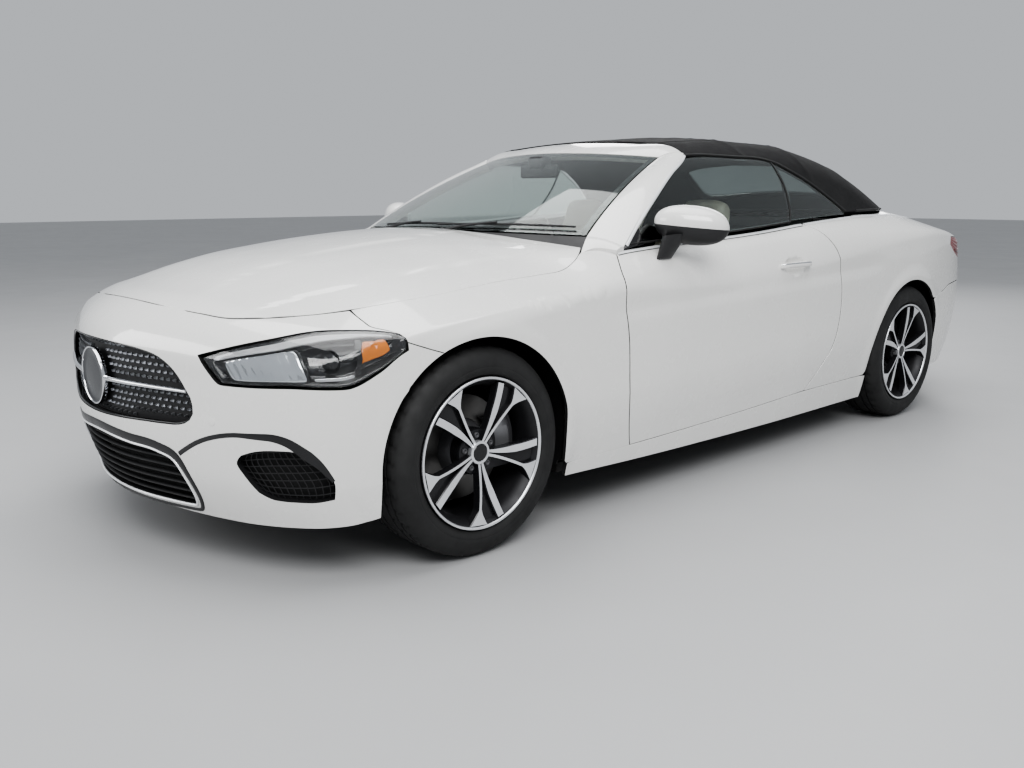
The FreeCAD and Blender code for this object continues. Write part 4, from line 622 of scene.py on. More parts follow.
TOP_FRONT = [(-.615,-.205,1.302),(-.56,-.195,1.330),(-.35,-.198,1.352),(0,-.212,1.366),(.35,-.198,1.352),(.56,-.195,1.330),(.615,-.205,1.302)]
RW_TOP = [(-.36,1.065,1.30),(0,1.095,1.32),(.36,1.065,1.30)]
RW_LOW = [(-.43,1.375,1.15),(0,1.475,1.17),(.43,1.375,1.15)]
RW_SIDE = [(.43,1.375,1.15),(.36,1.065,1.30)]
def flip(pts): return [(-p[0], p[1], p[2]) for p in pts]
def across(pts):
    if abs(pts[-1][0]) < 1e-6: pts = pts[::-1]
    pts = [p if p[0] >= 0 else (-p[0], p[1], p[2]) for p in pts]
    return [(-p[0], p[1], p[2]) for p in pts[::-1]][:-1] + pts

def two(name, f, P, node, slot_name="paint", mat="paint", bodies=(ROOT, ROOT), **kw):
    a = panel(name + "_left", f, P, mat, body_name=bodies[0], **kw)
    c = panel(name + "_right", f, flip_x(P), mat, body_name=bodies[1], **kw)
    for o in (a, c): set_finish(o, slot_name)
    return a, c

# =====================================================================
# painted skin
# =====================================================================
Q = 1.0
def N(n): return max(5, int(n * Q))

P = grid(body, HOOD_FRONT, HOOD_REAR, flip(HOOD_SIDE), HOOD_SIDE, N(96), N(78), .0025)
hood = panel("hood_skin", body, P, body_name="hood_body", thick=.016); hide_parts("hood"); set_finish(hood, "paint")
P = grid(body, LID_FRONT, LID_REAR, flip(LID_SIDE), LID_SIDE, N(72), N(60), .0025)
lid = panel("boot_lid_skin", body, P, body_name="boot_lid_body", thick=.018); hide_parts("boot_lid"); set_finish(lid, "paint")

P = grid(body, FENDER_BOTTOM, FENDER_TOP, FENDER_FRONT, FENDER_REAR, N(88), N(50), (.0, .0005, .001, .0035))
a, c = two("front_fender", body, P, "front_fenders", roll=.0010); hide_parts("front_fenders")
def door_body(x, y, z):
    """door skin with the oval cup behind the handle"""
    q = ((y - .196) / .080) ** 2 + ((z - .834) / .040) ** 2
    return body(x, y, z) + .019 * np.clip(1 - q, 0, 1) ** .9
P = grid(door_body, DOOR_BOTTOM, DOOR_BELT, DOOR_FRONT, DOOR_REAR, N(104), N(68), (.0025, .0040, .0025, .0005))
a, c = two("door_skin", door_body, P, "doors", bodies=("door_left_body", "door_right_body"), thick=.022)
door_l, door_r = a, c
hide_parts("door_left"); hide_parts("door_right")
P = grid(body, QUARTER_BOTTOM, QUARTER_TOP, [(p[0], p[1] + .005, p[2]) for p in DOOR_REAR], LID_SIDE[::-1], N(112), N(66), (.0010, .0030, .001, .0005), pw=8.5)
quarter_l, quarter_r = two("quarter_panel", body, P, "quarter_panels", thick=.016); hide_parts("quarter_panels")
P = grid(body, SILL_LOW, SILL_TOP, [SILL_LOW[0], (.884,-1.172,.208), SILL_TOP[0]], [SILL_LOW[-1], (.878,.93,.206), SILL_TOP[-1]], N(90), N(12), (.0, .0, .0, .0005))
a, c = two("sill", body, P, "sills", thick=.018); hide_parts("sills")
P = grid(body, across(REAR_LOW), across(REAR_SEAM), flip(REAR_SIDE), REAR_SIDE, N(124), N(34), (.001, .001, .0, .003))
rearb = panel("rear_bumper_skin", body, P, thick=.018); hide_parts("rear_bumper"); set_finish(rearb, "paint")

def front_y(x, z, f=body):
    x = arr(x); z = arr(z); a = np.full(np.broadcast(x, z).shape, -2.7); b_ = np.full(a.shape, -1.9)
    for _ in range(30):
        m_ = (a + b_) / 2; v = f(x, m_, z) > 0
        a = np.where(v, m_, a); b_ = np.where(v, b_, m_)
    return (a + b_) / 2
zs = np.array([.188, .25, .32, .40, .48, .56, .64, .70, .75, .79])
MIDLINE = [(0, float(front_y(0, z)), float(z)) for z in zs] + [(0, -2.298, .810)]
P = grid(body, [(-q[0], q[1], q[2]) for q in BUMPER_BOTTOM[::-1]], NOSE_TOP, MIDLINE, NOSE_ARCH, N(104), N(66))
P[0, :, 0] = 0
full = np.concatenate([flip_x(P)[:0:-1], P], 0)
nose = panel("nose_skin", body, full, thick=.016, roll=.0008, exact=False)
def front_loop(pts, k=0.0, n=90):
    full_ = [(-p[0], p[1]) for p in pts[::-1]][:-1] + pts[:-1]
    loop = arr(full_ + full_[:1])
    L = np.concatenate([[0], np.cumsum(np.linalg.norm(np.diff(loop, axis=0), axis=1))])
    # smooth closed line through the points
    s = np.linspace(0, L[-1], n, endpoint=False)
    ext = np.concatenate([loop[-4:-1], loop, loop[1:4]]); LE = np.concatenate([L[-4:-1] - L[-1], L, L[1:4] + L[-1]])
    T = [Table(*[(LE[i], ext[i][q]) for i in range(len(ext))]) for q in (0, 1)]
    r = np.stack([T[0](s), T[1](s)], -1)
    if k:
        c_ = r.mean(0); d = np.roll(r, -1, 0) - np.roll(r, 1, 0); nrm = np.stack([-d[:, 1], d[:, 0]], -1); nrm /= np.linalg.norm(nrm, axis=1, keepdims=True)
        sgn = np.sign(((c_ - r) * nrm).sum(1).mean()); r = r + nrm * sgn * k
    return r
def surf_loop(loop, d=(.55, -.83, 0)):
    return [tuple(p) for p in loop]
def vent_loop(inset):
    g = grid(body, VENT_LOW, VENT_TOP, VENT_IN, VENT_OUT, 21, 13, inset)
    return np.concatenate([g[:, 0], g[-1, 1:-1], g[::-1, -1], g[0, 1:-1][::-1]])
cutters = []
for nm, L_ in (("gr", GRILLE), ("in", INTAKE)):
    r = front_loop(L_); cutters.append(prism_obj("cut_" + nm, [(p[0], -2.7, p[1]) for p in r], (0, .56, 0)))
vl = vent_loop(0.0); dv = arr((.55, -.83, 0)); dv /= np.linalg.norm(dv)
for s in (1, -1):
    L_ = vl * (s, 1, 1); d_ = dv * (s, 1, 1); c0 = L_.mean(0)
    flat = L_ - ((L_ - c0) @ d_)[:, None] * d_ + d_ * .12
    cutters.append(prism_obj("cut_v", [tuple(p) for p in flat], tuple(-d_ * .30)))
cut(nose, cutters)
finish_panel(nose, body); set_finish(nose, "paint")
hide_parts("front_bumper")
P = grid(body, STRIP_LOW, STRIP_TOP, STRIP_IN, STRIP_OUT, N(90), N(26), (.0, .0, .0, .0))
a, c = two("lamp_brow", body, P, "front_bumper", thick=.014, roll=.0004)
# thin near-black line drawn on the skin from the headlamp tip: painted shade of the bumper seam
o = ribbon("bumper_line_left", body, [(.893,-1.846,.722),(.903,-1.800,.706),(.912,-1.755,.690),(.918,-1.722,.679)], .0032, "gap_shade_and_backing", lift=.0002, thick=.003, n=24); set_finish(o, "dark_plastic")
q = mirrored(o, "bumper_line_right"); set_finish(q, "dark_plastic")

# tail lamp opening
def tail_border(inset, n=25):
    g = grid(body, TAIL_LOW, TAIL_TOP, [TAIL_LOW[0], TAIL_TOP[0]], [TAIL_LOW[-1], TAIL_TOP[-1]], n, 9, inset)
    return np.concatenate([g[:, 0], g[-1, 1:-1], g[::-1, -1], g[0, 1:-1][::-1]])
dt = arr((.72, .69, 0)); dt /= np.linalg.norm(dt)
for s, q in ((1, quarter_l), (-1, quarter_r)):
    L_ = tail_border(0.0) * (s, 1, 1); d_ = dt * (s, 1, 1); c0 = L_.mean(0)
    flat = L_ - ((L_ - c0) @ d_)[:, None] * d_ - d_ * .25
    pr = prism_obj("cut_t", [tuple(p) for p in flat], tuple(d_ * .5))
    cut(q, [pr]); finish_panel(q, body)
    if q.get("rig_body") is None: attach(q, ROOT)

# panel round the foot of the soft top
def base_point(th, z, out=0.0):
    a_, b_ = 0.0, 1.2; s, c_ = math.sin(th), math.cos(th)
    for _ in range(40):
        m_ = (a_ + b_) / 2
        if green(m_ * s, .9 + m_ * c_, z) < 0: a_ = m_
        else: b_ = m_
    return ((a_ + out) * s, .9 + (a_ + out) * c_, z)
DECK_IN = [base_point(math.radians(92) * i / 20, 1.050, -.012) for i in range(-20, 21)]
DECK_OUT = across([(.808,.95,1.049),(.806,1.13,1.050),(.797,1.25,1.050),(.783,1.45,1.033),(.715,1.62,1.026),(.64,1.690,1.020),(.565,1.717,1.018),(.3,1.737,1.04),(0,1.745,1.046)])
P = grid(body, DECK_IN, DECK_OUT, [DECK_IN[0], DECK_OUT[0]], [DECK_IN[-1], DECK_OUT[-1]], N(160), N(14), (.0, .0, .0, .0015))
deck = panel("deck_skin", body, P, thick=.010, roll=.0015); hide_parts("tonneau_panel"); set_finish(deck, "paint")

def lathe_at(name, profile, centre, direction, mat, n=48, body_name=ROOT, closed=False, sharp=32):
    """profile of (along, radius) turned about a line through centre"""
    o = lathe(profile, n, mat, name, closed)
    d = Vector(direction).normalized(); q = Vector((1, 0, 0)).rotation_difference(d)
    o.data.transform(Matrix.Translation(Vector(centre)) @ q.to_matrix().to_4x4())
    bm = bmesh.new(); bm.from_mesh(o.data)
    bmesh.ops.remove_doubles(bm, verts=bm.verts, dist=1e-6); bmesh.ops.recalc_face_normals(bm, faces=bm.faces)
    bm.to_mesh(o.data); bm.free()
    o.data.shade_smooth(); o.data.set_sharp_from_angle(angle=math.radians(sharp))
    if body_name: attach(o, body_name)
    return o

def sides(o, name, body_name=None):
    """make the right-hand copy of a left-hand piece"""
    q = mirrored(o, name, body_name)
    if "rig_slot" in o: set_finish(q, o["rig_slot"])
    return q

def lit(o, slot_name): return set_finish(o, slot_name)

# ---------------- headlights ----------------
LAMP = (LAMP_BOTTOM, LAMP_TOP, LAMP_IN, LAMP_OUT)
P = grid(body, *LAMP, N(70), N(26), .003)
cover = panel("headlight_cover_left", body, P, "lamp_glass", thick=.003, roll=.001); lit(cover, "lamp_clear"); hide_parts("headlights")
sides(cover, "headlight_cover_right")
P = grid(body, *LAMP, 60, 24, .0035)
n_ = gradient(body, P)[0]
uu = np.linspace(0, 1, 60)[:, None]; vv = np.linspace(0, 1, 24)[None]
dep = .0045 + .034 * sstep(np.minimum(uu, 1 - uu), .0, .09) * sstep(np.minimum(vv, 1 - vv), .02, .17)
dep = dep * (1 - .35 * np.clip((uu - .75) / .25, 0, 1))
B = P - n_ * dep[..., None]
bez = panel("headlight_housing_left", body, B, "lamp_dark", thick=.004, roll=.0005, exact=False); lit(bez, "dark_plastic")
sides(bez, "headlight_housing_right")
LG = snap(body, coons(*LAMP, np.linspace(0, 1, 81), np.linspace(0, 1, 41))); LN = gradient(body, LG)[0]
def lamp_at(u, v):
    """points and normals of the lamp cover at (u, v) from 0 to 1"""
    a_ = np.clip(u, 0, 1) * 80; b_ = np.clip(v, 0, 1) * 40; i_ = np.minimum(a_.astype(int), 79); j_ = np.minimum(b_.astype(int), 39); a_ = (a_ - i_)[..., None]; b_ = (b_ - j_)[..., None]
    mix = lambda G: (G[i_, j_] * (1 - a_) + G[i_ + 1, j_] * a_) * (1 - b_) + (G[i_, j_ + 1] * (1 - a_) + G[i_ + 1, j_ + 1] * a_) * b_
    return mix(LG), mix(LN)
def lamp_patch(name, corners, d, mat, slot_name, nu=24, nv=12, thick=.005, ribs=0, dish=0.0):
    """piece inside four (u, v) corners (lower left, lower right, upper right, upper left), set d behind the cover"""
    c_ = arr(corners); a_ = np.linspace(0, 1, nu)[:, None]; b_ = np.linspace(0, 1, nv)[None]
    # corners drawn in a little so that the outline is rounded
    e_ = .05 * (np.abs(2 * a_ - 1) ** 6) * (2 * b_ - 1); g_ = .05 * (np.abs(2 * b_ - 1) ** 6) * (2 * a_ - 1)
    a2 = np.broadcast_to(a_, (nu, nv)) - g_ * .6; b2 = np.broadcast_to(b_, (nu, nv)) - e_ * .8
    uv = (c_[0] * (1 - a2)[..., None] + c_[1] * a2[..., None]) * (1 - b2)[..., None] + (c_[3] * (1 - a2)[..., None] + c_[2] * a2[..., None]) * b2[..., None]
    P_, n_ = lamp_at(uv[..., 0], uv[..., 1])
    h = d + dish * (1 - (2 * a2 - 1) ** 2) * (1 - (2 * b2 - 1) ** 2)
    if ribs: h = h + .0010 * (1 - np.abs(np.sin(a2 * math.pi * ribs)))
    o = panel(name + "_left", body, P_ - n_ * h[..., None], mat, thick=thick, roll=.0014, exact=False); lit(o, slot_name); sides(o, name + "_right")
lamp_patch("lamp_main_frame", [(.055, .10), (.485, .07), (.480, .735), (.075, .74)], .0125, "lamp_dark", "dark_plastic", 30, 12, .012)
lamp_patch("lamp_main_lens", [(.075, .14), (.470, .11), (.462, .70), (.095, .70)], .0085, "lamp_mirror", "chrome_trim", 60, 16, .004, ribs=9, dish=.003)
lamp_patch("lamp_light_strip", [(.045, .775), (.93, .765), (.925, .905), (.07, .935)], .0075, "clear_white", "lamp_clear", 60, 7, .006)
lamp_patch("lamp_amber", [(.735, .34), (.895, .40), (.880, .62), (.765, .62)], .0105, "amber", "lamp_clear", 20, 10, .005)
lamp_patch("lamp_side_fin", [(.700, .16), (.725, .16), (.765, .70), (.735, .70)], .0120, "lamp_dark", "dark_plastic", 8, 14, .008)
lamp_patch("lamp_low_line", [(.50, .135), (.69, .150), (.69, .195), (.50, .180)], .0095, "chrome", "chrome_trim", 20, 5, .004)
def lamp_point(u, v, d):
    p_, n_ = lamp_at(arr(u), arr(v)); return p_ - n_ * d
aim = arr((.42, -.90, .06)); c_ = lamp_point(.60, .47, .026); r = .033
o = lathe_at("lamp_projector_ring_left", [(-.010, r * .55), (-.004, r * .80), (.006, r), (.008, r * 1.07), (.004, r * 1.10), (-.012, r * .7)], c_, aim, "lamp_dark", 56, closed=True); lit(o, "dark_plastic"); sides(o, "lamp_projector_ring_right")
o = lathe_at("lamp_projector_left", [(-.006, .0002), (-.006, r * .80), (.003, r * .78), (.009, r * .58), (.0125, r * .28), (.0135, .0002)], c_, aim, "lamp_dark", 56); lit(o, "lamp_clear"); sides(o, "lamp_projector_right")

# ---------------- tail lamps ----------------
TAIL = (TAIL_LOW, TAIL_TOP, [TAIL_LOW[0], TAIL_TOP[0]], [TAIL_LOW[-1], TAIL_TOP[-1]])
P = grid(body, *TAIL, N(80), N(26), .003)
nn_ = gradient(body, P)[0]
vv = np.linspace(0, 1, P.shape[1])[None]
rib = .0012 * np.abs(np.sin(vv * math.pi * 5)) ** .5
P2 = P - nn_ * (.0025 - rib[..., None] * np.ones(P.shape[:2])[..., None])
o = panel("tail_lamp_lens_left", body, P2, "red_lens", thick=.020, roll=.0012, exact=False); lit(o, "lamp_red"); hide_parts("tail_lamps")
sides(o, "tail_lamp_lens_right")
def tail_band(name, v0, v1, u0, u1, d, mat, slot_name):
    us = np.linspace(u0, u1, 50); vs = np.linspace(v0, v1, 7)
    g = snap(body, coons(*TAIL, us, vs)); g = g + gradient(body, g)[0] * d
    o = panel(name + "_left", body, g, mat, thick=.004, roll=.0006, exact=False); lit(o, slot_name); sides(o, name + "_right")
tail_band("tail_lamp_white", .40, .56, .05, .55, .0006, "clear_white", "lamp_clear")
tail_band("tail_lamp_dark_band", .18, .24, .04, .80, .0006, "red_dark", "lamp_red")

# ---------------- grille and lower intake ----------------
def disc_fill(name, loop, back, mat, rings=16, thick=.010, sub=None):
    """panel inside a closed front-view loop, set back from the skin"""
    c_ = loop.mean(0); n = len(loop); V = []
    radii = np.linspace(1, 0, rings, endpoint=False)
    pts = np.concatenate([c_ + (loop - c_) * r for r in radii] + [c_[None]])
    y = front_y(pts[:, 0], pts[:, 1], body0) + back
    V = [(p[0], yy, p[1]) for p, yy in zip(pts, y)]
    V += [(p[0], yy + thick, p[1]) for p, yy in zip(pts, y)]
    m = len(pts); F = []
    for q in (0, 1):
        o_ = q * m
        for k in range(rings - 1):
            for i in range(n):
                f = (o_ + k * n + i, o_ + k * n + (i + 1) % n, o_ + (k + 1) * n + (i + 1) % n, o_ + (k + 1) * n + i)
                F.append(f if q else f[::-1])
        for i in range(n):
            f = (o_ + (rings - 1) * n + i, o_ + (rings - 1) * n + (i + 1) % n, o_ + m - 1)
            F.append(f if q else f[::-1])
    F += [(i, (i + 1) % n, m + (i + 1) % n, m + i) for i in range(n)]
    o = obj(name, V, F, mat, sharp=45)
    bm = bmesh.new(); bm.from_mesh(o.data); bmesh.ops.recalc_face_normals(bm, faces=bm.faces); bm.to_mesh(o.data); bm.free()
    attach(o, ROOT); return o
def inside(loop, x, z):
    n = len(loop); c_ = False
    for i in range(n):
        a_, b_ = loop[i], loop[(i + 1) % n]
        if (a_[1] > z) != (b_[1] > z) and x < (b_[0] - a_[0]) * (z - a_[1]) / (b_[1] - a_[1]) + a_[0]: c_ = not c_
    return c_
GL = front_loop(GRILLE, .002, 140); IL = front_loop(INTAKE, .002, 120)
o = disc_fill("grille_panel", GL, .028, "matt_black"); lit(o, "dark_plastic"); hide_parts("front_grille")
gl_in = front_loop(GRILLE, .012, 140)
V, F = [], []
rows = 11
for j in range(rows):
    z = .4795 + j * .0205
    xs = np.arange(-.503, .504, .0265) + (.01325 if j % 2 else 0)
    for x in xs:
        if not inside(gl_in, x, z) or x * x + (z - .5765) ** 2 < .0985 ** 2 or abs(z - .580) < .0145: continue
        y = float(front_y(x, z, body0)) + .026
        b_ = len(V); w_, h_ = .0050, .0042
        # small wedge: wide at the top, drawn down to a point
        V += [(x - w_, y + .002, z + h_), (x + w_, y + .002, z + h_), (x, y + .002, z - h_ * 1.5), (x - w_ * .55, y - .0085, z + h_ * .45), (x + w_ * .55, y - .0085, z + h_ * .45), (x, y - .0075, z - h_ * .7)]
        F += [(b_ + 3, b_ + 5, b_ + 4), (b_, b_ + 3, b_ + 4, b_ + 1), (b_ + 1, b_ + 4, b_ + 5, b_ + 2), (b_ + 2, b_ + 5, b_ + 3, b_), (b_, b_ + 1, b_ + 2)]
o = obj("grille_studs", V, F, "stud_grey", smooth=False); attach(o, ROOT); lit(o, "chrome_trim")
bm = bmesh.new(); bm.from_mesh(o.data); bmesh.ops.recalc_face_normals(bm, faces=bm.faces); bm.to_mesh(o.data); bm.free()
V, F = [], []
def rim_line(name, loop, back, r, mat, slot_name):
    y = front_y(loop[:, 0], loop[:, 1]) + back
    o = tube(name, np.stack([loop[:, 0], y, loop[:, 1]], -1), r, mat, 8, closed=True); lit(o, slot_name); return o
rim_line("grille_frame", front_loop(GRILLE, .0035, 160), .005, .0036, "gloss_black", "dark_plastic")
def cross_bar(name, x0, x1, z, half, back, mat, slot_name, out=.012, n=26, taper=1.0):
    V = []; xs = np.linspace(x0, x1, n)
    y = front_y(xs, np.full(n, z), body0) + back
    for i, x in enumerate(xs):
        h = half * (1 - (1 - taper) * i / (n - 1))
        for k in range(10):
            a_ = 2 * math.pi * k / 10
            V.append((x, y[i] - out * .5 + math.cos(a_) * out * .55, z + math.sin(a_) * h))
    F = grid_faces(n, 10, 0, False, wrap_v=True) + [tuple(range(10))[::-1], tuple((n - 1) * 10 + q for q in range(10))]
    o = obj(name, V, F, mat, sharp=60)
    bm = bmesh.new(); bm.from_mesh(o.data); bmesh.ops.recalc_face_normals(bm, faces=bm.faces); bm.to_mesh(o.data); bm.free()
    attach(o, ROOT); lit(o, slot_name); return o
for s, nm in ((1, "left"), (-1, "right")):
    cross_bar(f"grille_bar_{nm}", s * .095, s * .472, .580, .0085, .014, "chrome", "chrome_trim", out=.018, taper=.75)
yc = float(front_y(0.0, .5765))
o = lathe_at("grille_disc", [(-.012, .0002), (-.012, .070), (-.004, .088), (.004, .0915), (.0085, .0895), (.0095, .0855), (.0075, .0815), (.0080, .060), (.0092, .030), (.0095, .0002)], (0, yc + .012, .5765), (0, -1, 0), "disc_grey", 96); lit(o, "chrome_trim")
o = lathe_at("grille_disc_ring", [(.006, .0865), (.0110, .0875), (.0125, .0900), (.0110, .0925), (.004, .0938), (-.004, .0930), (-.004, .0865)], (0, yc + .012, .5765), (0, -1, 0), "chrome", 96, closed=True); lit(o, "chrome_trim")
o = disc_fill("intake_back", IL, .060, "gap_shade_and_backing"); lit(o, "dark_plastic"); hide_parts("lower_intake")
iloop = front_loop(INTAKE, .004, 120)
# wall of the intake, from the skin back to its rear panel
def tunnel(name, loop, y0, y1, mat):
    n = len(loop); V = []
    y = front_y(loop[:, 0], loop[:, 1])
    c_ = loop.mean(0)
    for k, (b_, sc) in enumerate(((y0, 1.0), (y1, 1.0), (y1, 1.012), (y0, 1.012))):
        for p, yy in zip(loop, y):
            q = c_ + (p - c_) * sc; V.append((q[0], yy + b_, q[1]))
    F = []
    for k in range(4):
        for i in range(n): F.append((k * n + i, k * n + (i + 1) % n, ((k + 1) % 4) * n + (i + 1) % n, ((k + 1) % 4) * n + i))
    o = obj(name, V, F, mat, sharp=40)
    bm = bmesh.new(); bm.from_mesh(o.data); bmesh.ops.recalc_face_normals(bm, faces=bm.faces); bm.to_mesh(o.data); bm.free()
    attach(o, ROOT); lit(o, "dark_plastic"); return o
tunnel("grille_surround", front_loop(GRILLE, .0005, 140), .003, .036, "gloss_black")
tunnel("intake_surround", front_loop(INTAKE, .0005, 120), .003, .070, "black_plastic")
k = 0
for z in (.232, .258, .284, .310, .336, .362, .384):
    zz = [p for p in iloop]
    xm = max([p[0] for p in iloop if abs(p[1] - z) < .02] + [.2]) - .004
    cross_bar(f"intake_slat_{k}", -xm, xm, z, .0045, .028, "matt_black", "dark_plastic", out=.020, n=40); k += 1
rim_line("intake_line", front_loop(INTAKE, -.003, 160), -.0010, .0040, "bright_trim", "chrome_trim")
fl = front_loop(INTAKE, -.019, 180); fl = np.concatenate([fl, fl[:1]])
fl3 = np.stack([fl[:, 0], front_y(fl[:, 0], fl[:, 1]), fl[:, 1]], -1)
fl_w = np.interp(resample(fl3, 240)[:, 2], [.19, .24, .33, .375], [.012, .018, .022, .030])
o = ribbon("intake_frame", body, fl3, fl_w, "frame_grey", lift=.0022, thick=.002, n=240); lit(o, "dark_plastic")
o = ribbon("side_channel_left", body, [(.418,-2.335,.385),(.449,-2.325,.405),(.499,-2.312,.432),(.567,-2.288,.457),(.651,-2.25,.470),(.721,-2.208,.470),(.77,-2.171,.457),(.803,-2.140,.428),(.826,-2.108,.395),(.843,-2.070,.340)], np.interp(np.linspace(0, 1, 80), [0, .45, .70, .82, 1], [.014, .014, .026, .032, .010]), "frame_grey", lift=.0012, thick=.002, n=80); lit(o, "dark_plastic")
sides(o, "side_channel_right")
# side vents: dark mesh set back in the opening
g = grid(body, VENT_LOW, VENT_TOP, VENT_IN, VENT_OUT, 30, 16, .0015)
g = g - dv * .045
o = panel("side_vent_back_left", body, g, "gap_shade_and_backing", thick=.004, roll=.0005, exact=False); lit(o, "dark_plastic"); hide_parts("side_vents")
sides(o, "side_vent_back_right")
wl = vent_loop(.0006); V = []
n = len(wl)
for d_, sc in ((.003, 1.0), (.050, 1.0), (.050, 1.03), (.003, 1.03)):
    c0 = wl.mean(0)
    for p in wl: V.append(c0 + (p - c0) * sc - dv * d_)
F = []
for q in range(4):
    for i in range(n): F.append((q * n + i, q * n + (i + 1) % n, ((q + 1) % 4) * n + (i + 1) % n, ((q + 1) % 4) * n + i))
o = obj("side_vent_surround_left", V, F, "black_plastic", sharp=40)
bm = bmesh.new(); bm.from_mesh(o.data); bmesh.ops.recalc_face_normals(bm, faces=bm.faces); bm.to_mesh(o.data); bm.free()
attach(o, ROOT); lit(o, "dark_plastic"); sides(o, "side_vent_surround_right")
V, F = [], []
gv = grid(body, VENT_LOW, VENT_TOP, VENT_IN, VENT_OUT, 60, 36, .003)
def bar_between(A, B, r):
    b_ = len(V); t = B - A; t /= np.linalg.norm(t); s_ = np.cross(t, dv); s_ /= np.linalg.norm(s_)
    for p in (A, B):
        for a_, h in ((-1, -1), (1, -1), (1, 1), (-1, 1)): V.append(p + s_ * a_ * r + dv * h * r)
    F.extend([(b_, b_ + 1, b_ + 5, b_ + 4), (b_ + 1, b_ + 2, b_ + 6, b_ + 5), (b_ + 2, b_ + 3, b_ + 7, b_ + 6), (b_ + 3, b_, b_ + 4, b_ + 7), (b_, b_ + 3, b_ + 2, b_ + 1), (b_ + 4, b_ + 5, b_ + 6, b_ + 7)])
gs = gv - dv * .022
for i in range(4, 56, 5): 
    for j in range(0, 35, 5): bar_between(gs[i, j], gs[i, min(j + 5, 35)], .0011)
for j in range(3, 34, 5):
    for i in range(0, 59, 5): bar_between(gs[i, j], gs[min(i + 5, 59), j], .0011)
o = obj("side_vent_mesh_left", V, F, "black_plastic", smooth=False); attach(o, ROOT); lit(o, "dark_plastic"); sides(o, "side_vent_mesh_right")
# round parking sensors in the bumper
for k, (x, z) in enumerate(((.56, .50), (-.56, .50))):
    y = float(front_y(x, z)); c_ = arr((x, y, z)); d_ = gradient(body, c_[None])[0][0]
    o = lathe_at(f"front_sensor_{k}", [(-.004, .0002), (-.004, .0115), (.0008, .0115), (.0012, .0095), (.0012, .0002)], c_, d_, "paint", 32); lit(o, "paint")

# =====================================================================
# windscreen, pillars, glass, soft top
# =====================================================================
def screen(u, v):
    x = (.690 * (1 - v) + .543 * v) * u
    y = (-1.06 + .187 * u * u) * (1 - v) + (-.42 + .133 * u * u) * v - .08 * v * (1 - v)
    z = (1.0 - .013 * u * u) * (1 - v) + (1.313 - .027 * u * u) * v + .048 * v * (1 - v)
    return np.stack(np.broadcast_arrays(x, y, z), -1)
def screen_patch(name, us, vs, off, thick, mat, slot_name):
    P = screen(us[:, None], vs[None, :])
    tu = np.gradient(P, axis=0); tv = np.gradient(P, axis=1); n_ = np.cross(tu, tv); n_ /= np.linalg.norm(n_, axis=-1, keepdims=True)
    n_ = np.where((n_[..., 1:2] > 0), -n_, n_)
    A = P + n_ * off; B = P + n_ * (off - thick)
    nu, nv = P.shape[:2]
    V = list(A.reshape(-1, 3)) + list(B.reshape(-1, 3)); m = nu * nv
    F = grid_faces(nu, nv, 0, False) + grid_faces(nu, nv, m, True)
    idx = [(i, 0) for i in range(nu)] + [(nu - 1, j) for j in range(1, nv)] + [(i, nv - 1) for i in range(nu - 2, -1, -1)] + [(0, j) for j in range(nv - 2, 0, -1)]
    ids = [i * nv + j for i, j in idx]
    for k in range(len(ids)):
        a_, b_ = ids[k], ids[(k + 1) % len(ids)]; F.append((a_, b_, b_ + m, a_ + m))
    o = obj(name, V, F, mat, sharp=40)
    bm = bmesh.new(); bm.from_mesh(o.data); bmesh.ops.recalc_face_normals(bm, faces=bm.faces); bm.to_mesh(o.data); bm.free()
    o.data.shade_smooth(); o.data.set_sharp_from_angle(angle=math.radians(40))
    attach(o, ROOT); return lit(o, slot_name)
o = screen_patch("windscreen_glass", np.linspace(-.994, .994, N(60)), np.linspace(.008, .994, N(40)), 0, .0047, "glass", "tinted_glass"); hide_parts("windscreen")
screen_patch("windscreen_band_top", np.linspace(-.99, .99, 50), np.linspace(.955, .992, 4), -.0050, .0008, "gloss_black", "dark_plastic")
screen_patch("windscreen_band_low", np.linspace(-.99, .99, 50), np.linspace(.010, .060, 4), -.0050, .0008, "gloss_black", "dark_plastic")
for s, nm in ((1, "left"), (-1, "right")):
    us = np.linspace(.955, .992, 4) * s
    screen_patch("windscreen_band_" + nm, us, np.linspace(.012, .99, 40), -.0050, .0008, "gloss_black", "dark_plastic")

def strip_solid(name, rows_out, rows_in, mat, slot_name, sharp=35):
    """closed piece between an outer and an inner grid of points"""
    A, B = arr(rows_out), arr(rows_in); nu, nv = A.shape[:2]; m = nu * nv
    if B.shape != A.shape:
        B = np.stack([resample(r, nv) for r in B])
    V = list(A.reshape(-1, 3)) + list(B.reshape(-1, 3))
    F = grid_faces(nu, nv, 0, False) + grid_faces(nu, nv, m, True)
    idx = [(i, 0) for i in range(nu)] + [(nu - 1, j) for j in range(1, nv)] + [(i, nv - 1) for i in range(nu - 2, -1, -1)] + [(0, j) for j in range(nv - 2, 0, -1)]
    ids = [i * nv + j for i, j in idx]
    for k in range(len(ids)):
        a_, b_ = ids[k], ids[(k + 1) % len(ids)]; F.append((a_, b_, b_ + m, a_ + m))
    o = obj(name, V, F, mat)
    bm = bmesh.new(); bm.from_mesh(o.data); bmesh.ops.recalc_face_normals(bm, faces=bm.faces); bm.to_mesh(o.data); bm.free()
    o.data.shade_smooth(); o.data.set_sharp_from_angle(angle=math.radians(sharp))
    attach(o, ROOT); return lit(o, slot_name)
def row(a_, b_, n=3): return [tuple(np.array(a_) + (np.array(b_) - np.array(a_)) * i / (n - 1)) for i in range(n)]
def bowed(a_, b_, d, n=9):
    """row of points with a crown, and rounded down at both ends"""
    out = []
    for i in range(n):
        t = i / (n - 1); k = 1 - (2 * t - 1) ** 2
        out.append(np.array(a_) + (np.array(b_) - np.array(a_)) * t + np.array(d) * k)
    return out
NP = 49
inner_edge = screen(np.full(NP, 1.003), np.linspace(0, 1, NP)) + (.0012, 0, 0)
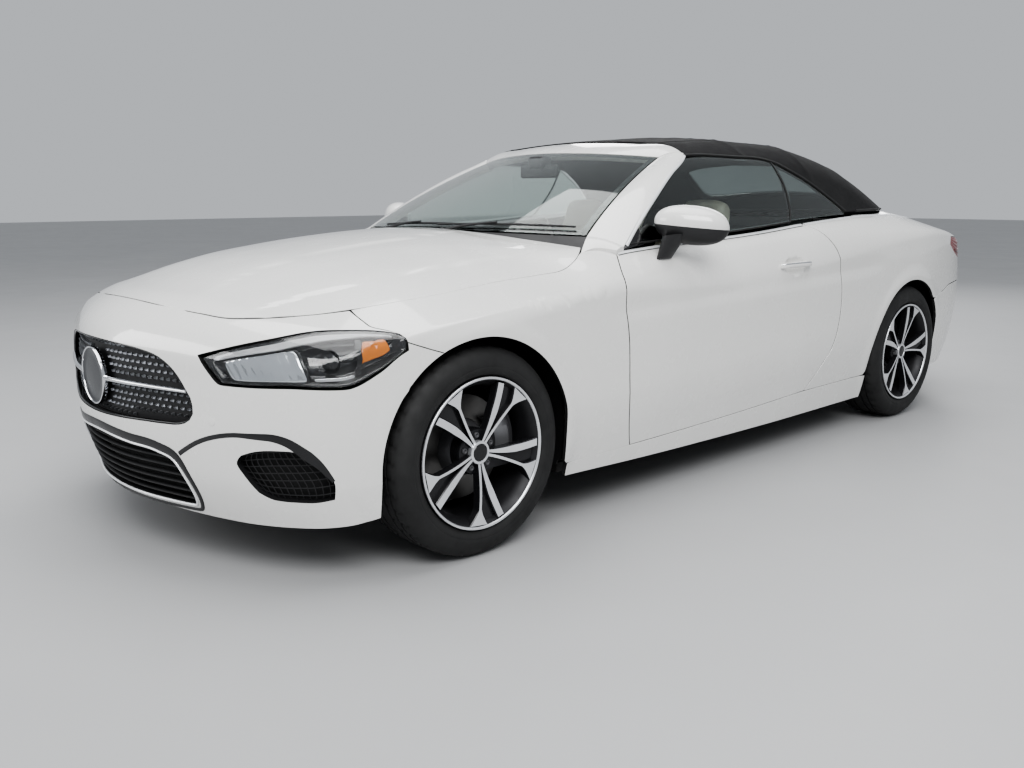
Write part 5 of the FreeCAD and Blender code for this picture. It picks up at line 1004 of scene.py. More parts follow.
outer_edge = resample([(.818,-.812,.952),(.776,-.690,1.036),(.734,-.553,1.123),(.673,-.373,1.224),(.627,-.242,1.284),(.609,-.208,1.303)], NP)
o = strip_solid("a_pillar_left", [bowed(inner_edge[j], outer_edge[j], (.006, -.006, .008)) for j in range(NP)],
                [row(inner_edge[j] + (-.012, .040, -.030), outer_edge[j] + (-.040, .012, -.014), 9) for j in range(NP)], "paint", "paint")
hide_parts("windscreen_frame"); sides(o, "a_pillar_right")
M = 65
head_front = screen(np.linspace(-1, 1, M), np.full(M, 1.004)) + (0, .0006, 0)
head_rear = resample([(-.600,-.213,1.306),(-.545,-.203,1.330),(-.35,-.206,1.350),(0,-.220,1.363),(.35,-.206,1.350),(.545,-.203,1.330),(.600,-.213,1.306)], M)
strip_solid("windscreen_header", [bowed(head_front[i], head_rear[i], (0, -.004, .008)) for i in range(M)],
            [row(head_front[i] + (0, .022, -.032), head_rear[i] + (0, -.004, -.032), 9) for i in range(M)], "paint", "paint")
cowl_front = resample([(-.745,-.905,.935),(-.45,-1.000,.978),(0,-1.075,.990),(.45,-1.000,.978),(.745,-.905,.935)], M)
cowl_rear = screen(np.linspace(-1.02, 1.02, M), np.full(M, -.004)) + (0, -.001, -.001)
strip_solid("cowl", [row(cowl_front[i], cowl_rear[i], 5) for i in range(M)],
            [row(cowl_front[i] + (0, 0, -.050), cowl_rear[i] + (0, .02, -.060), 5) for i in range(M)], "black_plastic", "dark_plastic")
# painted foot of the pillar
foot_t = bowed(inner_edge[0], outer_edge[0], (.006, -.006, .008), 13)
foot_b = resample([(.738, -.952, .930), (.768, -.899, .949), (.819, -.851, .940)], 13)
foot_o = [bowed(foot_t[k], foot_b[k], (.001, -.001, .004), 9) for k in range(13)]
o = strip_solid("pillar_foot_left", foot_o, [[tuple(arr(q_) + (-.010, .012, -.045)) for q_ in r_] for r_ in foot_o], "paint", "paint"); sides(o, "pillar_foot_right")
# bright strip along the pillar
pe = outer_edge + (-.002, .012, 0)
o = ribbon("pillar_strip_left", green, pe[1:-1], .017, "bright_trim", lift=.0040, thick=.008, n=60); lit(o, "chrome_trim"); sides(o, "pillar_strip_right")
# black corner piece in front of the door glass
tri = arr([(.822,-.838,.948),(.818,-.700,.956),(.780,-.692,1.030)])
def patch3(name, a_, b_, c_, f, mat, body_name, thick=.005, n=16, lift=.0015):
    us = np.linspace(0, 1, n); P = np.zeros((n, n, 3))
    for i, u in enumerate(us):
        e0 = a_ + (b_ - a_) * u; e1 = c_
        for j, v in enumerate(np.linspace(0, .97, n)): P[i, j] = e0 + (c_ - e0) * v
    P = snap(f, P); P = P + gradient(f, P)[0] * lift
    return panel(name, f, P, mat, thick=thick, roll=.001, body_name=body_name, exact=False)
o = patch3("corner_patch_left", tri[0], tri[1], tri[2], green, "gloss_black", "door_left_body"); lit(o, "dark_plastic"); sides(o, "corner_patch_right", "door_right_body")

P = grid(green, GLASS_LOW, GLASS_TOP, GLASS_FRONT, GLASS_REAR, N(44), N(26), (.002, .003, .003, .002), -.001)
o = panel("door_glass_pane_left", green, P, "glass_side", thick=.004, roll=.0008, body_name="door_left_body", exact=False); lit(o, "tinted_glass"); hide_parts("door_glass_left")
q = sides(o, "door_glass_pane_right", "door_right_body"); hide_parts("door_glass_right")
P = grid(green, QW_LOW, QW_TOP, QW_FRONT, QW_TIP, N(40), N(24), (.002, .001, .002, .002), -.001)
o = panel("quarter_glass_left", green, P, "glass_side", thick=.004, roll=.0008, exact=False); lit(o, "tinted_glass"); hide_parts("quarter_windows")
sides(o, "quarter_glass_right")
# seal between the two side panes
o = ribbon("pane_seal_left", green, [(.8185,.2975,1.0215),(.7695,.3480,1.11),(.7215,.3670,1.193),(.662,.3570,1.276)], .009, "rubber", lift=.001, thick=.004, n=40); lit(o, "dark_plastic"); sides(o, "pane_seal_right")
# bright strip at the foot of the side windows: on the door, then round the rear deck, on a thin dark base
BELT_D = [(p[0] + .001, p[1], p[2] - .002) for p in DOOR_BELT[:-1]] + [(.823,.385,1.0165)]
o = ribbon("belt_base_door_left", body, BELT_D, .0225, "rubber", lift=.0014, thick=.003, n=110, body_name="door_left_body"); lit(o, "dark_plastic"); sides(o, "belt_base_door_right", "door_right_body")
o = ribbon("belt_strip_door_left", body, [(p[0] + .001, p[1], p[2] - .002) for p in DOOR_BELT[:-1]] + [(.823,.385,1.0165)], .0165, "bright_trim", lift=.0036, thick=.004, n=110, body_name="door_left_body"); lit(o, "chrome_trim"); sides(o, "belt_strip_door_right", "door_right_body")
o = ribbon("belt_strip_rear_left", body, [(.8225,.410,1.0185),(.818,.7,1.037),(.812,1.0,1.0495),(.797,1.25,1.0495),(.783,1.45,1.0330),(.715,1.62,1.027)], .0145, "bright_trim", lift=.0032, thick=.003, n=110); lit(o, "chrome_trim"); sides(o, "belt_strip_rear_right")
o = ribbon("belt_seal_left", green, [(.811,-.765,.959),(.8155,-.644,.967),(.8170,-.15,.9885),(.8170,.067,1.0015),(.8180,.290,1.0185)], .005, "rubber", lift=.004, thick=.006, n=90, body_name="door_left_body"); lit(o, "dark_plastic"); sides(o, "belt_seal_right", "door_right_body")

# soft top: one sheet of cloth with an opening for its window
TIP = math.radians(98)
TOP_REAR = [base_point(TIP * i / 14, 1.056 + .012 * math.cos(TIP * i / 14)) for i in range(-14, 15)]
TOP_REAR[0] = (-.812, .785, 1.056); TOP_REAR[-1] = (.812, .785, 1.056)
P = grid(cloth, TOP_FRONT, TOP_REAR, flip(TOP_SIDE), TOP_SIDE, N(140), N(100))
top = panel("roof_cloth", cloth, P, "roof_cloth", thick=.003, roll=.0015, exact=False)
def window_loop(k, n=72):
    """rounded outline of the rear window, grown by k, on the soft top"""
    L = []
    for i in range(n):
        a_ = 2 * math.pi * i / n; c_, s_ = math.cos(a_), math.sin(a_)
        e = .30; u = math.copysign(abs(c_) ** e, c_); v = math.copysign(abs(s_) ** e, s_)
        t = (v + 1) / 2; half = (.455 * (1 - t) + .375 * t) + k
        x = u * half; y = (1.425 + k * .9) * (1 - t) + (1.085 - k * .9) * t + .070 * (1 - (x / .45) ** 2) * (1 - t) + .022 * (1 - (x / .40) ** 2) * t
        L.append((x, y, 1.22))
    L = arr(L)
    # drop along z onto the cloth
    lo = np.full(n, 1.0); hi = np.full(n, 1.45)
    for _ in range(40):
        m_ = (lo + hi) / 2; o_ = green(L[:, 0], L[:, 1], m_) < 0
        lo = np.where(o_, m_, lo); hi = np.where(o_, hi, m_)
    L[:, 2] = lo
    return L
wdir = arr((0, .50, .866))
wl_ = window_loop(.0); c0 = wl_.mean(0)
cut(top, [prism_obj("cut_w", [tuple(p) for p in (wl_ - ((wl_ - c0) @ wdir)[:, None] * wdir - wdir * .12)], tuple(wdir * .24))])
top.data.shade_smooth(); top.data.set_sharp_from_angle(angle=math.radians(50)); lit(top, "roof_cloth"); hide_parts("soft_top")
P = grid(cloth, TOP_FRONT, TOP_REAR, flip(TOP_SIDE), TOP_SIDE, 56, 40)
lin = P - gradient(cloth, P)[0] * .019
lining = panel("roof_lining", cloth, lin, "roof_cloth", thick=.0025, roll=.001, exact=False)
wl2 = window_loop(.006)
cut(lining, [prism_obj("cut_w2", [tuple(p) for p in (wl2 - ((wl2 - c0) @ wdir)[:, None] * wdir - wdir * .16)], tuple(wdir * .26))])
lining.data.shade_smooth(); lit(lining, "roof_cloth")
# rear window, with a sewn band round it
def fill_loop(name, loop, off, thick, mat, slot_name, f=green, rings=14):
    n = len(loop); c_ = loop.mean(0)
    rr = np.linspace(1, 0, rings, endpoint=False)
    pts = np.concatenate([c_ + (loop - c_) * r for r in rr] + [c_[None]])
    pts = snap(f, pts); g_ = gradient(f, pts)[0]
    A = pts + g_ * off; B = pts + g_ * (off - thick); m = len(pts); V = list(A) + list(B); F = []
    for q in (0, 1):
        o_ = q * m
        for k in range(rings - 1):
            for i in range(n):
                f_ = (o_ + k * n + i, o_ + k * n + (i + 1) % n, o_ + (k + 1) * n + (i + 1) % n, o_ + (k + 1) * n + i); F.append(f_ if q else f_[::-1])
        for i in range(n):
            f_ = (o_ + (rings - 1) * n + i, o_ + (rings - 1) * n + (i + 1) % n, o_ + m - 1); F.append(f_ if q else f_[::-1])
    F += [(i, (i + 1) % n, m + (i + 1) % n, m + i) for i in range(n)]
    o = obj(name, V, F, mat, sharp=45)
    bm = bmesh.new(); bm.from_mesh(o.data); bmesh.ops.recalc_face_normals(bm, faces=bm.faces); bm.to_mesh(o.data); bm.free()
    o.data.shade_smooth(); o.data.set_sharp_from_angle(angle=math.radians(45))
    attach(o, ROOT); return lit(o, slot_name)
o = fill_loop("rear_window_pane", window_loop(-.002, 96), -.0045, .004, "rear_glass", "tinted_glass"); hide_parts("rear_window")
o = tube("rear_window_edge", snap(green, window_loop(.000, 140)) + gradient(green, snap(green, window_loop(.000, 140)))[0] * -.001, .0038, "rubber", 8, closed=True); lit(o, "dark_plastic")
def seam(name, pts, w=.0045, lift=.0016, mat="roof_cloth", slot_name="roof_cloth", f=cloth, n=120):
    o = ribbon(name, f, pts, w, mat, lift=lift, thick=.0005, n=n); return lit(o, slot_name)
# lengthwise sewn seams
for s, nm in ((1, "left"), (-1, "right")):
    ys = np.linspace(-.190, 1.02, 40); xs = s * (.46 + .05 * (ys + .2) / 1.2); lo_ = np.full(40, 1.05); hi_ = np.full(40, 1.45)
    for _ in range(30):
        m_ = (lo_ + hi_) / 2; o_ = green(xs, ys, m_) < 0; lo_ = np.where(o_, m_, lo_); hi_ = np.where(o_, hi_, m_)
    zz = lo_
    seam("roof_seam_" + nm, np.stack([xs, ys, zz], -1), .006, .0014)
# edge binding along the side windows
o = ribbon("roof_edge_left", green, [(p[0] - .001, p[1], p[2] + .003) for p in TOP_SIDE], .009, "rubber", lift=.0035, thick=.008, n=100); lit(o, "dark_plastic"); sides(o, "roof_edge_right")
rear_edge = arr(TOP_REAR)[1:-1]
o = ribbon("roof_foot_binding", green, rear_edge + (0, 0, .004), .010, "rubber", lift=.003, thick=.006, n=200); lit(o, "dark_plastic")

# ---------------- door mirrors ----------------
def mirror_shell(name, zlo, zhi, mat, shrink=0.0):
    nu, nv = 56, 28; c_ = arr((.918, -.548, 1.024)); a_ = math.radians(34); R_ = np.array([[math.cos(a_), -math.sin(a_), 0], [math.sin(a_), math.cos(a_), 0], [0, 0, 1]])
    V = []; F = []
    for i in range(nu):
        th = 2 * math.pi * i / nu
        for j in range(nv + 1):
            ph = math.radians(-90 + 180 * (zlo + (zhi - zlo) * j / nv))
            def sp(t, e): return math.copysign(abs(t) ** e, t)
            p = arr((sp(math.cos(ph), .85) * sp(math.cos(th), .9) * .138, sp(math.cos(ph), .85) * sp(math.sin(th), .9) * .074, sp(math.sin(ph), .9) * .073)) * (1 - shrink)
            if p[1] > .036: p[1] = .036 + (p[1] - .036) * .12
            p[2] -= .012 * (p[0] / .138)
            V.append(R_ @ p + c_)
    F = grid_faces(nu, nv + 1, 0, False, wrap_u=True)
    o = obj(name, V, F, mat)
    bm = bmesh.new(); bm.from_mesh(o.data); bmesh.ops.remove_doubles(bm, verts=bm.verts, dist=1e-5)
    bmesh.ops.holes_fill(bm, edges=[e for e in bm.edges if e.is_boundary], sides=0)
    bmesh.ops.recalc_face_normals(bm, faces=bm.faces); bm.to_mesh(o.data); bm.free()
    o.data.shade_smooth(); o.data.set_sharp_from_angle(angle=math.radians(55))
    return o, R_, c_
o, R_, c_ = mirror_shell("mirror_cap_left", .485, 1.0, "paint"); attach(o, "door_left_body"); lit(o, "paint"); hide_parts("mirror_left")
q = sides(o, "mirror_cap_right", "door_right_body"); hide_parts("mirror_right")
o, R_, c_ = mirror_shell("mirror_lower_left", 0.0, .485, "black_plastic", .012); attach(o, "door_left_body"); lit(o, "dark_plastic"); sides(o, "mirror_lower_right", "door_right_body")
V = []; n = 48
for k in range(2):
    for i in range(n):
        th = 2 * math.pi * i / n; cs, sn = math.cos(th), math.sin(th)
        p = arr((math.copysign(abs(cs) ** .6, cs) * .108, .0465 + .003 * k, math.copysign(abs(sn) ** .6, sn) * .046 + .002)); V.append(R_ @ p + c_)
F = [tuple(range(n)), tuple(range(2 * n - 1, n - 1, -1))] + [(i, (i + 1) % n, n + (i + 1) % n, n + i) for i in range(n)]
o = obj("mirror_glass_left", V, F, "mirror_glass", sharp=40)
bm = bmesh.new(); bm.from_mesh(o.data); bmesh.ops.recalc_face_normals(bm, faces=bm.faces); bm.to_mesh(o.data); bm.free()
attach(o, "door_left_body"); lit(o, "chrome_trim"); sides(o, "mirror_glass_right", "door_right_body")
# arm from the door skin up to the shell
def loft(name, sections, mat, body_name=ROOT, sharp=45):
    k = len(sections[0]); V = [p for s_ in sections for p in s_]
    F = grid_faces(len(sections), k, 0, False, wrap_v=True) + [tuple(range(k))[::-1], tuple((len(sections) - 1) * k + q_ for q_ in range(k))]
    o = obj(name, V, F, mat)
    bm = bmesh.new(); bm.from_mesh(o.data); bmesh.ops.recalc_face_normals(bm, faces=bm.faces); bm.to_mesh(o.data); bm.free()
    o.data.shade_smooth(); o.data.set_sharp_from_angle(angle=math.radians(sharp))
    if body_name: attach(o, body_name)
    return o
secs = []
for t in np.linspace(0, 1, 14):
    a_ = t * t * (3 - 2 * t); cc = arr((.866, -.640, .902)) * (1 - a_) + arr((.899, -.620, .990)) * a_
    rx = .018 * (1 - a_) + .036 * a_; ry = .040 * (1 - a_) + .058 * a_; secs.append([cc + (rx * math.cos(w_), ry * math.sin(w_), .006 * math.cos(w_)) for w_ in np.linspace(0, 2 * math.pi, 24, endpoint=False)])
o = loft("mirror_arm_left", secs, "black_plastic", "door_left_body"); lit(o, "dark_plastic"); sides(o, "mirror_arm_right", "door_right_body")

# ---------------- door handles ----------------
c_ = snap(body, arr([(.92, .196, .836)]))[0]; n_ = gradient(body, c_[None])[0][0]
ty = arr((0, 1, 0)) - n_ * n_[1]; ty /= np.linalg.norm(ty); tz = np.cross(n_, ty); tz *= np.sign(tz[2])
secs = []
for t in np.linspace(-1, 1, 36):
    off = .026 * (1 - abs(t) ** 6) ; w_ = .013 * (1 - .25 * t * t); cc = c_ + ty * t * .112 + tz * .004
    cc = snap(body, cc[None])[0] + n_ * (off - .002)
    th = .0075
    secs.append([cc + tz * math.cos(a_) * w_ + n_ * math.sin(a_) * th for a_ in np.linspace(0, 2 * math.pi, 14, endpoint=False)])
o = loft("door_handle_left", secs, "paint", "door_left_body"); lit(o, "paint"); sides(o, "door_handle_right", "door_right_body")
secs = []
for t in np.linspace(-.96, .96, 36):
    off = .026 * (1 - abs(t) ** 6) + .0055; cc = c_ + ty * t * .112 + tz * .0085
    cc = snap(body, cc[None])[0] + n_ * (off - .002)
    secs.append([cc + tz * math.cos(a_) * .0042 + n_ * math.sin(a_) * .0028 for a_ in np.linspace(0, 2 * math.pi, 10, endpoint=False)])
o = loft("door_handle_trim_left", secs, "chrome", "door_left_body"); lit(o, "chrome_trim"); sides(o, "door_handle_trim_right", "door_right_body")

# ---------------- wipers and inner mirror ----------------
for k, (u0, v0, u1, v1) in enumerate(((-.55, .018, .32, .044), (.05, .034, .93, .066))):
    nq = 30; us = np.linspace(u0, u1, nq); vs = np.linspace(v0, v1, nq) + .010 * np.sin(np.linspace(0, math.pi, nq))
    B = screen(us, vs) + (0, -.006, .008)
    o = tube(f"wiper_blade_{k}", B, .0042, "black_plastic", 8); lit(o, "dark_plastic")
    piv = screen(np.array([u0 + .10]), np.array([-.03]))[0] + (0, -.010, .010); midp = screen(np.array([(u0 + u1) / 2]), np.array([(v0 + v1) / 2 + .01]))[0] + (0, -.012, .015)
    o = tube(f"wiper_arm_{k}", resample([tuple(piv), tuple((piv + midp) / 2 + arr((0, -.003, .005))), tuple(midp)], 16), list(np.linspace(.0065, .0035, 16)), "black_plastic", 8); lit(o, "dark_plastic")
    o = lathe_at(f"wiper_pivot_{k}", [(-.02, .0002), (-.02, .013), (.004, .013), (.008, .009), (.009, .0002)], piv, (0, -.4, .9), "black_plastic", 28); lit(o, "dark_plastic")
o = rounded_box("inner_mirror", (-.115, -.455, 1.205), (.115, -.432, 1.262), .012, "black_plastic"); lit(o, "dark_plastic")
o = rounded_box("inner_mirror_pod", (-.045, -.475, 1.245), (.045, -.405, 1.300), .014, "black_plastic"); lit(o, "dark_plastic")

# =====================================================================
# wheels, tyres, brakes
# =====================================================================
def wheel_mesh(name):
    """left-hand wheel about the origin, outer face towards +x"""
    objs = []
    rim = lathe([(-.116,.2447),(-.116,.237),(-.100,.214),(-.02,.212),(.070,.213),(.088,.219),(.100,.2265),(.1085,.2335),(.1130,.2385),(.1155,.2415),(.1155,.2447),(.103,.2455),(.098,.238),(.094,.232),(-.094,.232),(-.100,.2447)], 120, "wheel_inner", name + "_barrel", closed=True)
    lip = lathe([(.1120,.2355),(.1150,.2368),(.1166,.2390),(.1168,.2436),(.1150,.2450),(.1105,.2450),(.1100,.2385)], 144, "machined", name + "_lip", closed=True)
    objs += [(rim, "wheel_alloy"), (lip, "wheel_alloy")]
    # spokes
    V, F, FM = [], [], []
    def xr(r):
        t = (r - .06) / (.232 - .06)
        return .0935 + .014 * math.sin(t * math.pi * .55) + .0055 * t * t
    def spoke(ang, w_of, off_of, n=30, r0=.030, r1=.2345, depth=.030):
        b0 = len(V)
        for i in range(n):
            t = i / (n - 1); r = r0 + (r1 - r0) * t; w_ = w_of(t); o_ = off_of(t); x = xr(r); b = min(.0030, w_ * .2)
            sec = [(-w_, x - depth), (-w_, x - b * 1.2), (-w_ + b, x), (w_ - b, x), (w_, x - b * 1.2), (w_, x - depth)]
            for s_, xx in sec:
                a_ = ang + (s_ + o_) / r
                V.append((xx, r * math.sin(a_), r * math.cos(a_)))
        for i in range(n - 1):
            for k in range(6):
                a_ = b0 + i * 6 + k; c_ = b0 + i * 6 + (k + 1) % 6; F.append((a_, c_, c_ + 6, a_ + 6)); FM.append(1 if k == 2 else 0)
        F.append(tuple(b0 + k for k in range(6))[::-1]); FM.append(0)
        F.append(tuple(b0 + (n - 1) * 6 + k for k in range(6))); FM.append(0)
    for i in range(5):
        th = math.radians(72 * i)
        spoke(th, lambda t: .0042 + .0105 * min(1, t / .55), lambda t: -(.006 + .042 * t ** 1.7), r1=.2290)
        spoke(th, lambda t: .0056 + .0320 * max(0, (t - .74) / .26) ** 1.2, lambda t: .006 + .042 * t ** 1.5, n=44)
        # dark web between the two
        b0 = len(V); n = 24
        for k in range(n):
            t = k / (n - 1); r = .030 + (.2335 - .030) * t; x = xr(r) - .012 - .004 * t; h_ = .006 + .040 * t ** 1.6
            for s_, xx in ((-h_, x), (h_, x), (h_, x - .014), (-h_, x - .014)):
                a_ = th + s_ / r; V.append((xx, r * math.sin(a_), r * math.cos(a_)))
        for k in range(n - 1):
            for q in range(4):
                a_ = b0 + k * 4 + q; c_ = b0 + k * 4 + (q + 1) % 4; F.append((a_, c_, c_ + 4, a_ + 4)); FM.append(0)
        F.append(tuple(b0 + q for q in range(4))[::-1]); FM.append(0); F.append(tuple(b0 + (n - 1) * 4 + q for q in range(4))); FM.append(0)
    sp = obj(name + "_spokes", V, F, "wheel_black"); sp.data.materials.append(MAT["machined"])
    sp.data.polygons.foreach_set("material_index", FM)
    bm = bmesh.new(); bm.from_mesh(sp.data); bmesh.ops.recalc_face_normals(bm, faces=bm.faces); bm.to_mesh(sp.data); bm.free()
    sp.data.shade_smooth(); sp.data.set_sharp_from_angle(angle=math.radians(28))
    objs.append((sp, "wheel_alloy"))
    hub = lathe([(.030,.0002),(.030,.074),(.068,.076),(.0755,.0725),(.0775,.0660),(.0775,.0400),(.0760,.0002)], 80, "wheel_black", name + "_hub"); objs.append((hub, "wheel_alloy"))
    cap = lathe([(.072,.0002),(.072,.0272),(.0925,.0272),(.0940,.0258),(.0946,.0200),(.0950,.0002)], 64, "gloss_black", name + "_cap"); objs.append((cap, "wheel_alloy"))
    capring = lathe([(.074,.0280),(.0925,.0281),(.0945,.0292),(.0952,.0315),(.0950,.0350),(.0935,.0372),(.0890,.0382),(.074,.0382)], 72, "machined", name + "_cap_ring", closed=True); objs.append((capring, "wheel_alloy"))
    # wheel bolts
    parts = []
    for i in range(5):
        a_ = math.radians(72 * i + 36); cy_, cz_ = .056 * math.sin(a_), .056 * math.cos(a_)
        V = []; n = 12
        for x, r in ((.070, .0095), (.0835, .0095), (.0850, .0080), (.0850, .0052), (.080, .0048), (.080, .0003)):
            for k in range(n):
                w_ = 2 * math.pi * k / n; V.append((x, cy_ + r * math.sin(w_), cz_ + r * math.cos(w_)))
        F = grid_faces(6, n, 0, False, wrap_v=True) + [tuple(range(n))[::-1], tuple(5 * n + k for k in range(n))]
        parts.append((V, F))
    bolts = join_parts(name + "_bolts", parts, "steel_dark")
    bm = bmesh.new(); bm.from_mesh(bolts.data); bmesh.ops.recalc_face_normals(bm, faces=bm.faces); bm.to_mesh(bolts.data); bm.free()
    objs.append((bolts, "axle_steel"))
    # brake disc turning with the wheel: two plates joined at the rim with a gap between, and its bell
    disc = lathe([(-.030,.172),(-.030,.095),(-.021,.095),(-.021,.170),(-.014,.170),(-.014,.095),(-.005,.095),(-.005,.172)], 96, "brake_iron", name + "_disc", closed=True)
    bell = lathe([(-.028,.098),(.020,.088),(.032,.080),(.034,.034),(.028,.034),(.026,.078),(.014,.083),(-.030,.092)], 72, "steel_dark", name + "_bell", closed=True)
    objs += [(disc, "axle_steel"), (bell, "axle_steel")]
    return objs

def tyre_mesh(name):
    prof = [(-.0935,.2325),(-.0975,.2440),(-.1035,.2480),(-.1100,.2515),(-.1150,.2600),(-.1180,.2680),(-.1190,.2730),(-.1183,.2760),(-.1195,.2790),(-.1190,.2900),(-.1175,.3005),(-.1145,.3080),(-.1108,.3155),(-.1060,.3220),(-.1005,.3275),(-.0940,.3320),(-.0875,.3350)]
    tread = []
    edges = [-.084,-.064,-.056,-.030,-.022,.022,.030,.056,.064,.084]
    xs = [(-.084, 0), (-.0650, 0), (-.0635, 1), (-.0565, 1), (-.0550, 0), (-.0310, 0), (-.0295, 1), (-.0225, 1), (-.0210, 0), (0, 0)]
    for x, g_ in xs: tread.append((x, .3398 - .006 * (x / .09) ** 4 * .60 - .0065 * g_))
    tread += [(-x, r) for x, r in tread[:-1][::-1]]
    full_ = prof + tread + [(-x, r) for x, r in prof[::-1]]
    back_ = [(.0900,.2330),(.094,.250),(.104,.275),(.104,.300),(.090,.322),(0,.328),(-.090,.322),(-.104,.300),(-.104,.275),(-.094,.250),(-.0900,.2330)]
    pr = full_ + back_; m = len(pr); n = 240; V = []
    for i in range(n):
        a_ = 2 * math.pi * i / n
        for k, (x, r) in enumerate(pr):
            ax = abs(x)
            if k < len(full_) and r > .3345:
                ph = (i + (3 if ax > .056 else 0) + int(40 * ax)) % 6
                if ax > .064 and ph in (0,): r -= .0050
                elif .030 < ax < .056 and ph == 3: r -= .0042
            V.append((x, r * math.sin(a_), r * math.cos(a_)))
    F = grid_faces(n, m, 0, True, wrap_u=True, wrap_v=True)
    o = obj(name, V, F, "tyre", sharp=34)
    return o

WM = None
base_parts = wheel_mesh("wheel"); base_tyre = tyre_mesh("tyre")
for key, (bd, sx, y, nm) in WHEELS.items():
    mtx = Matrix.Translation((sx * .8, y, .34)) @ (Matrix.Identity(4) if sx > 0 else Matrix.Scale(-1, 4, (1, 0, 0)))
    turn = Matrix.Rotation(math.radians({"fl": -30.5, "fr": 20, "rl": -12, "rr": 31}[key]), 4, "X")
    made = []
    for o, sl in base_parts:
        me = o.data.copy(); me.transform(mtx @ turn)
        if sx < 0: me.flip_normals()
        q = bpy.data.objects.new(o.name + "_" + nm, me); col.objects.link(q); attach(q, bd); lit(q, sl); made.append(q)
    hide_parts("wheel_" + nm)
    me = base_tyre.data.copy(); me.transform(mtx @ turn)
    if sx < 0: me.flip_normals()
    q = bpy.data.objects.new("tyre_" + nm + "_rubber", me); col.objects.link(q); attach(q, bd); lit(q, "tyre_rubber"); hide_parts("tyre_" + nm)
    # caliper, on the knuckle in front and on the body behind
    holder = {"fl": "knuckle_left_body", "fr": "knuckle_right_body"}.get(key, ROOT)
    secs = []
    a0, a1 = (math.radians(55), math.radians(112)) if key[0] == "f" else (math.radians(-112), math.radians(-60))
    for a_ in np.linspace(a0, a1, 20):
        e_ = 1 - .35 * abs((a_ - (a0 + a1) / 2) / ((a1 - a0) / 2)) ** 4
        c_ = [(.030, .118), (.036, .140), (.036, .172), (.026, .186), (-.052, .186), (-.062, .176), (-.062, .130), (-.052, .118), (-.0345, .118), (-.0345, .1765), (-.0005, .1765), (-.0005, .118)]
        secs.append([arr((sx * (.8 + (x if x > 0 else x) * (e_ if x > 0 else 1)), y + r * math.sin(a_), .34 + r * math.cos(a_))) for x, r in c_])
    o = loft("caliper_" + nm, secs, "caliper", holder, sharp=35); lit(o, "cast_metal")
for o, _s in base_parts: bpy.data.objects.remove(o, do_unlink=True)
bpy.data.objects.remove(base_tyre, do_unlink=True)

# wheel arch edge and liner are in the frame; the frame's own pieces get their materials here
FIN = {"wheel_housings": "black_plastic", "floor_pan": "carpet", "firewall": "steel_dark", "rear_bulkhead": "carpet", "boot_tub": "carpet", "body_rails": "steel_dark", "engine_block": "steel_dark",
       "undertrays": "black_plastic", "front_axle": "steel_dark", "rear_axle": "steel_dark", "steering_column": "black_plastic", "jacking_pads": "rubber", "front_knuckle_left": "steel_dark", "front_knuckle_right": "steel_dark",
       "mirror_left": "black_plastic", "mirror_right": "black_plastic", "centre_console": "leather_dark", "dashboard": "dash_soft", "tonneau_panel": "paint"}
for n_name, mt in FIN.items():
    o = frame["nodes"].get(n_name)
    if o is None: continue
    o.data.materials.clear(); o.data.materials.append(MAT[mt])
    for p in o.data.polygons: p.material_index = 0

# under panels, the rear one drawn in behind the low edge of the bumper
def tray(outline, z0, z1):
    n = len(outline); V = [(x, y, z0) for x, y in outline] + [(x, y, z1) for x, y in outline]
    return V, [tuple(range(n)), tuple(range(2 * n - 1, n - 1, -1))] + [(i, (i + 1) % n, n + (i + 1) % n, n + i) for i in range(n)]
half = [(.640, 1.765), (.640, 2.00), (.600, 2.075), (.500, 2.135), (.25, 2.190)]
o = join_parts("under_panels", [tray([(-.54, -2.165), (-.54, -1.995), (.54, -1.995), (.54, -2.165)], .190, .196), tray(half + [(-x, y) for x, y in half[::-1]], .196, .202)], "black_plastic")
bm = bmesh.new(); bm.from_mesh(o.data); bmesh.ops.recalc_face_normals(bm, faces=bm.faces); bm.to_mesh(o.data); bm.free()
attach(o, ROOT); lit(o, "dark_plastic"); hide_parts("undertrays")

# =====================================================================
# cabin
# =====================================================================
# dashboard: crowned upper roll, instrument hood, vents and a screen
dash = profile_x("dashboard_body", [(-1.085,.710),(-1.080,.850),(-.935,.878),(-.880,.920),(-.800,.938),(-.720,.940),(-.645,.915),(-.612,.870),(-.600,.820),(-.645,.725),(-.760,.628),(-1.06,.612)], -.685, .685, "dash_soft", r=.020, seg=4)
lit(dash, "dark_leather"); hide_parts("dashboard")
o = profile_x("instrument_hood", [(-.80,.925),(-.745,.955),(-.655,.950),(-.628,.925),(-.640,.900),(-.78,.900)], .215, .545, "leather_dark", r=.012); lit(o, "dark_leather")
o = rounded_box("centre_screen", (-.130, -.652, .872), (.130, -.634, .958), .006, "gloss_black"); lit(o, "dark_plastic")
o = profile_x("dash_trim", [(-.615,.838),(-.607,.842),(-.600,.822),(-.606,.800),(-.620,.800)], -.66, .66, "satin_chrome", r=.0025, seg=2); lit(o, "chrome_trim")
for k, x in enumerate((-.60, -.06, .06, .60)):
    o = lathe_at(f"dash_vent_{k}", [(-.01, .0002), (-.01, .034), (.004, .038), (.009, .036), (.007, .030), (.002, .027), (.002, .0002)], (x, -.618, .868), (0, .93, .28), "satin_chrome", 36); lit(o, "chrome_trim")
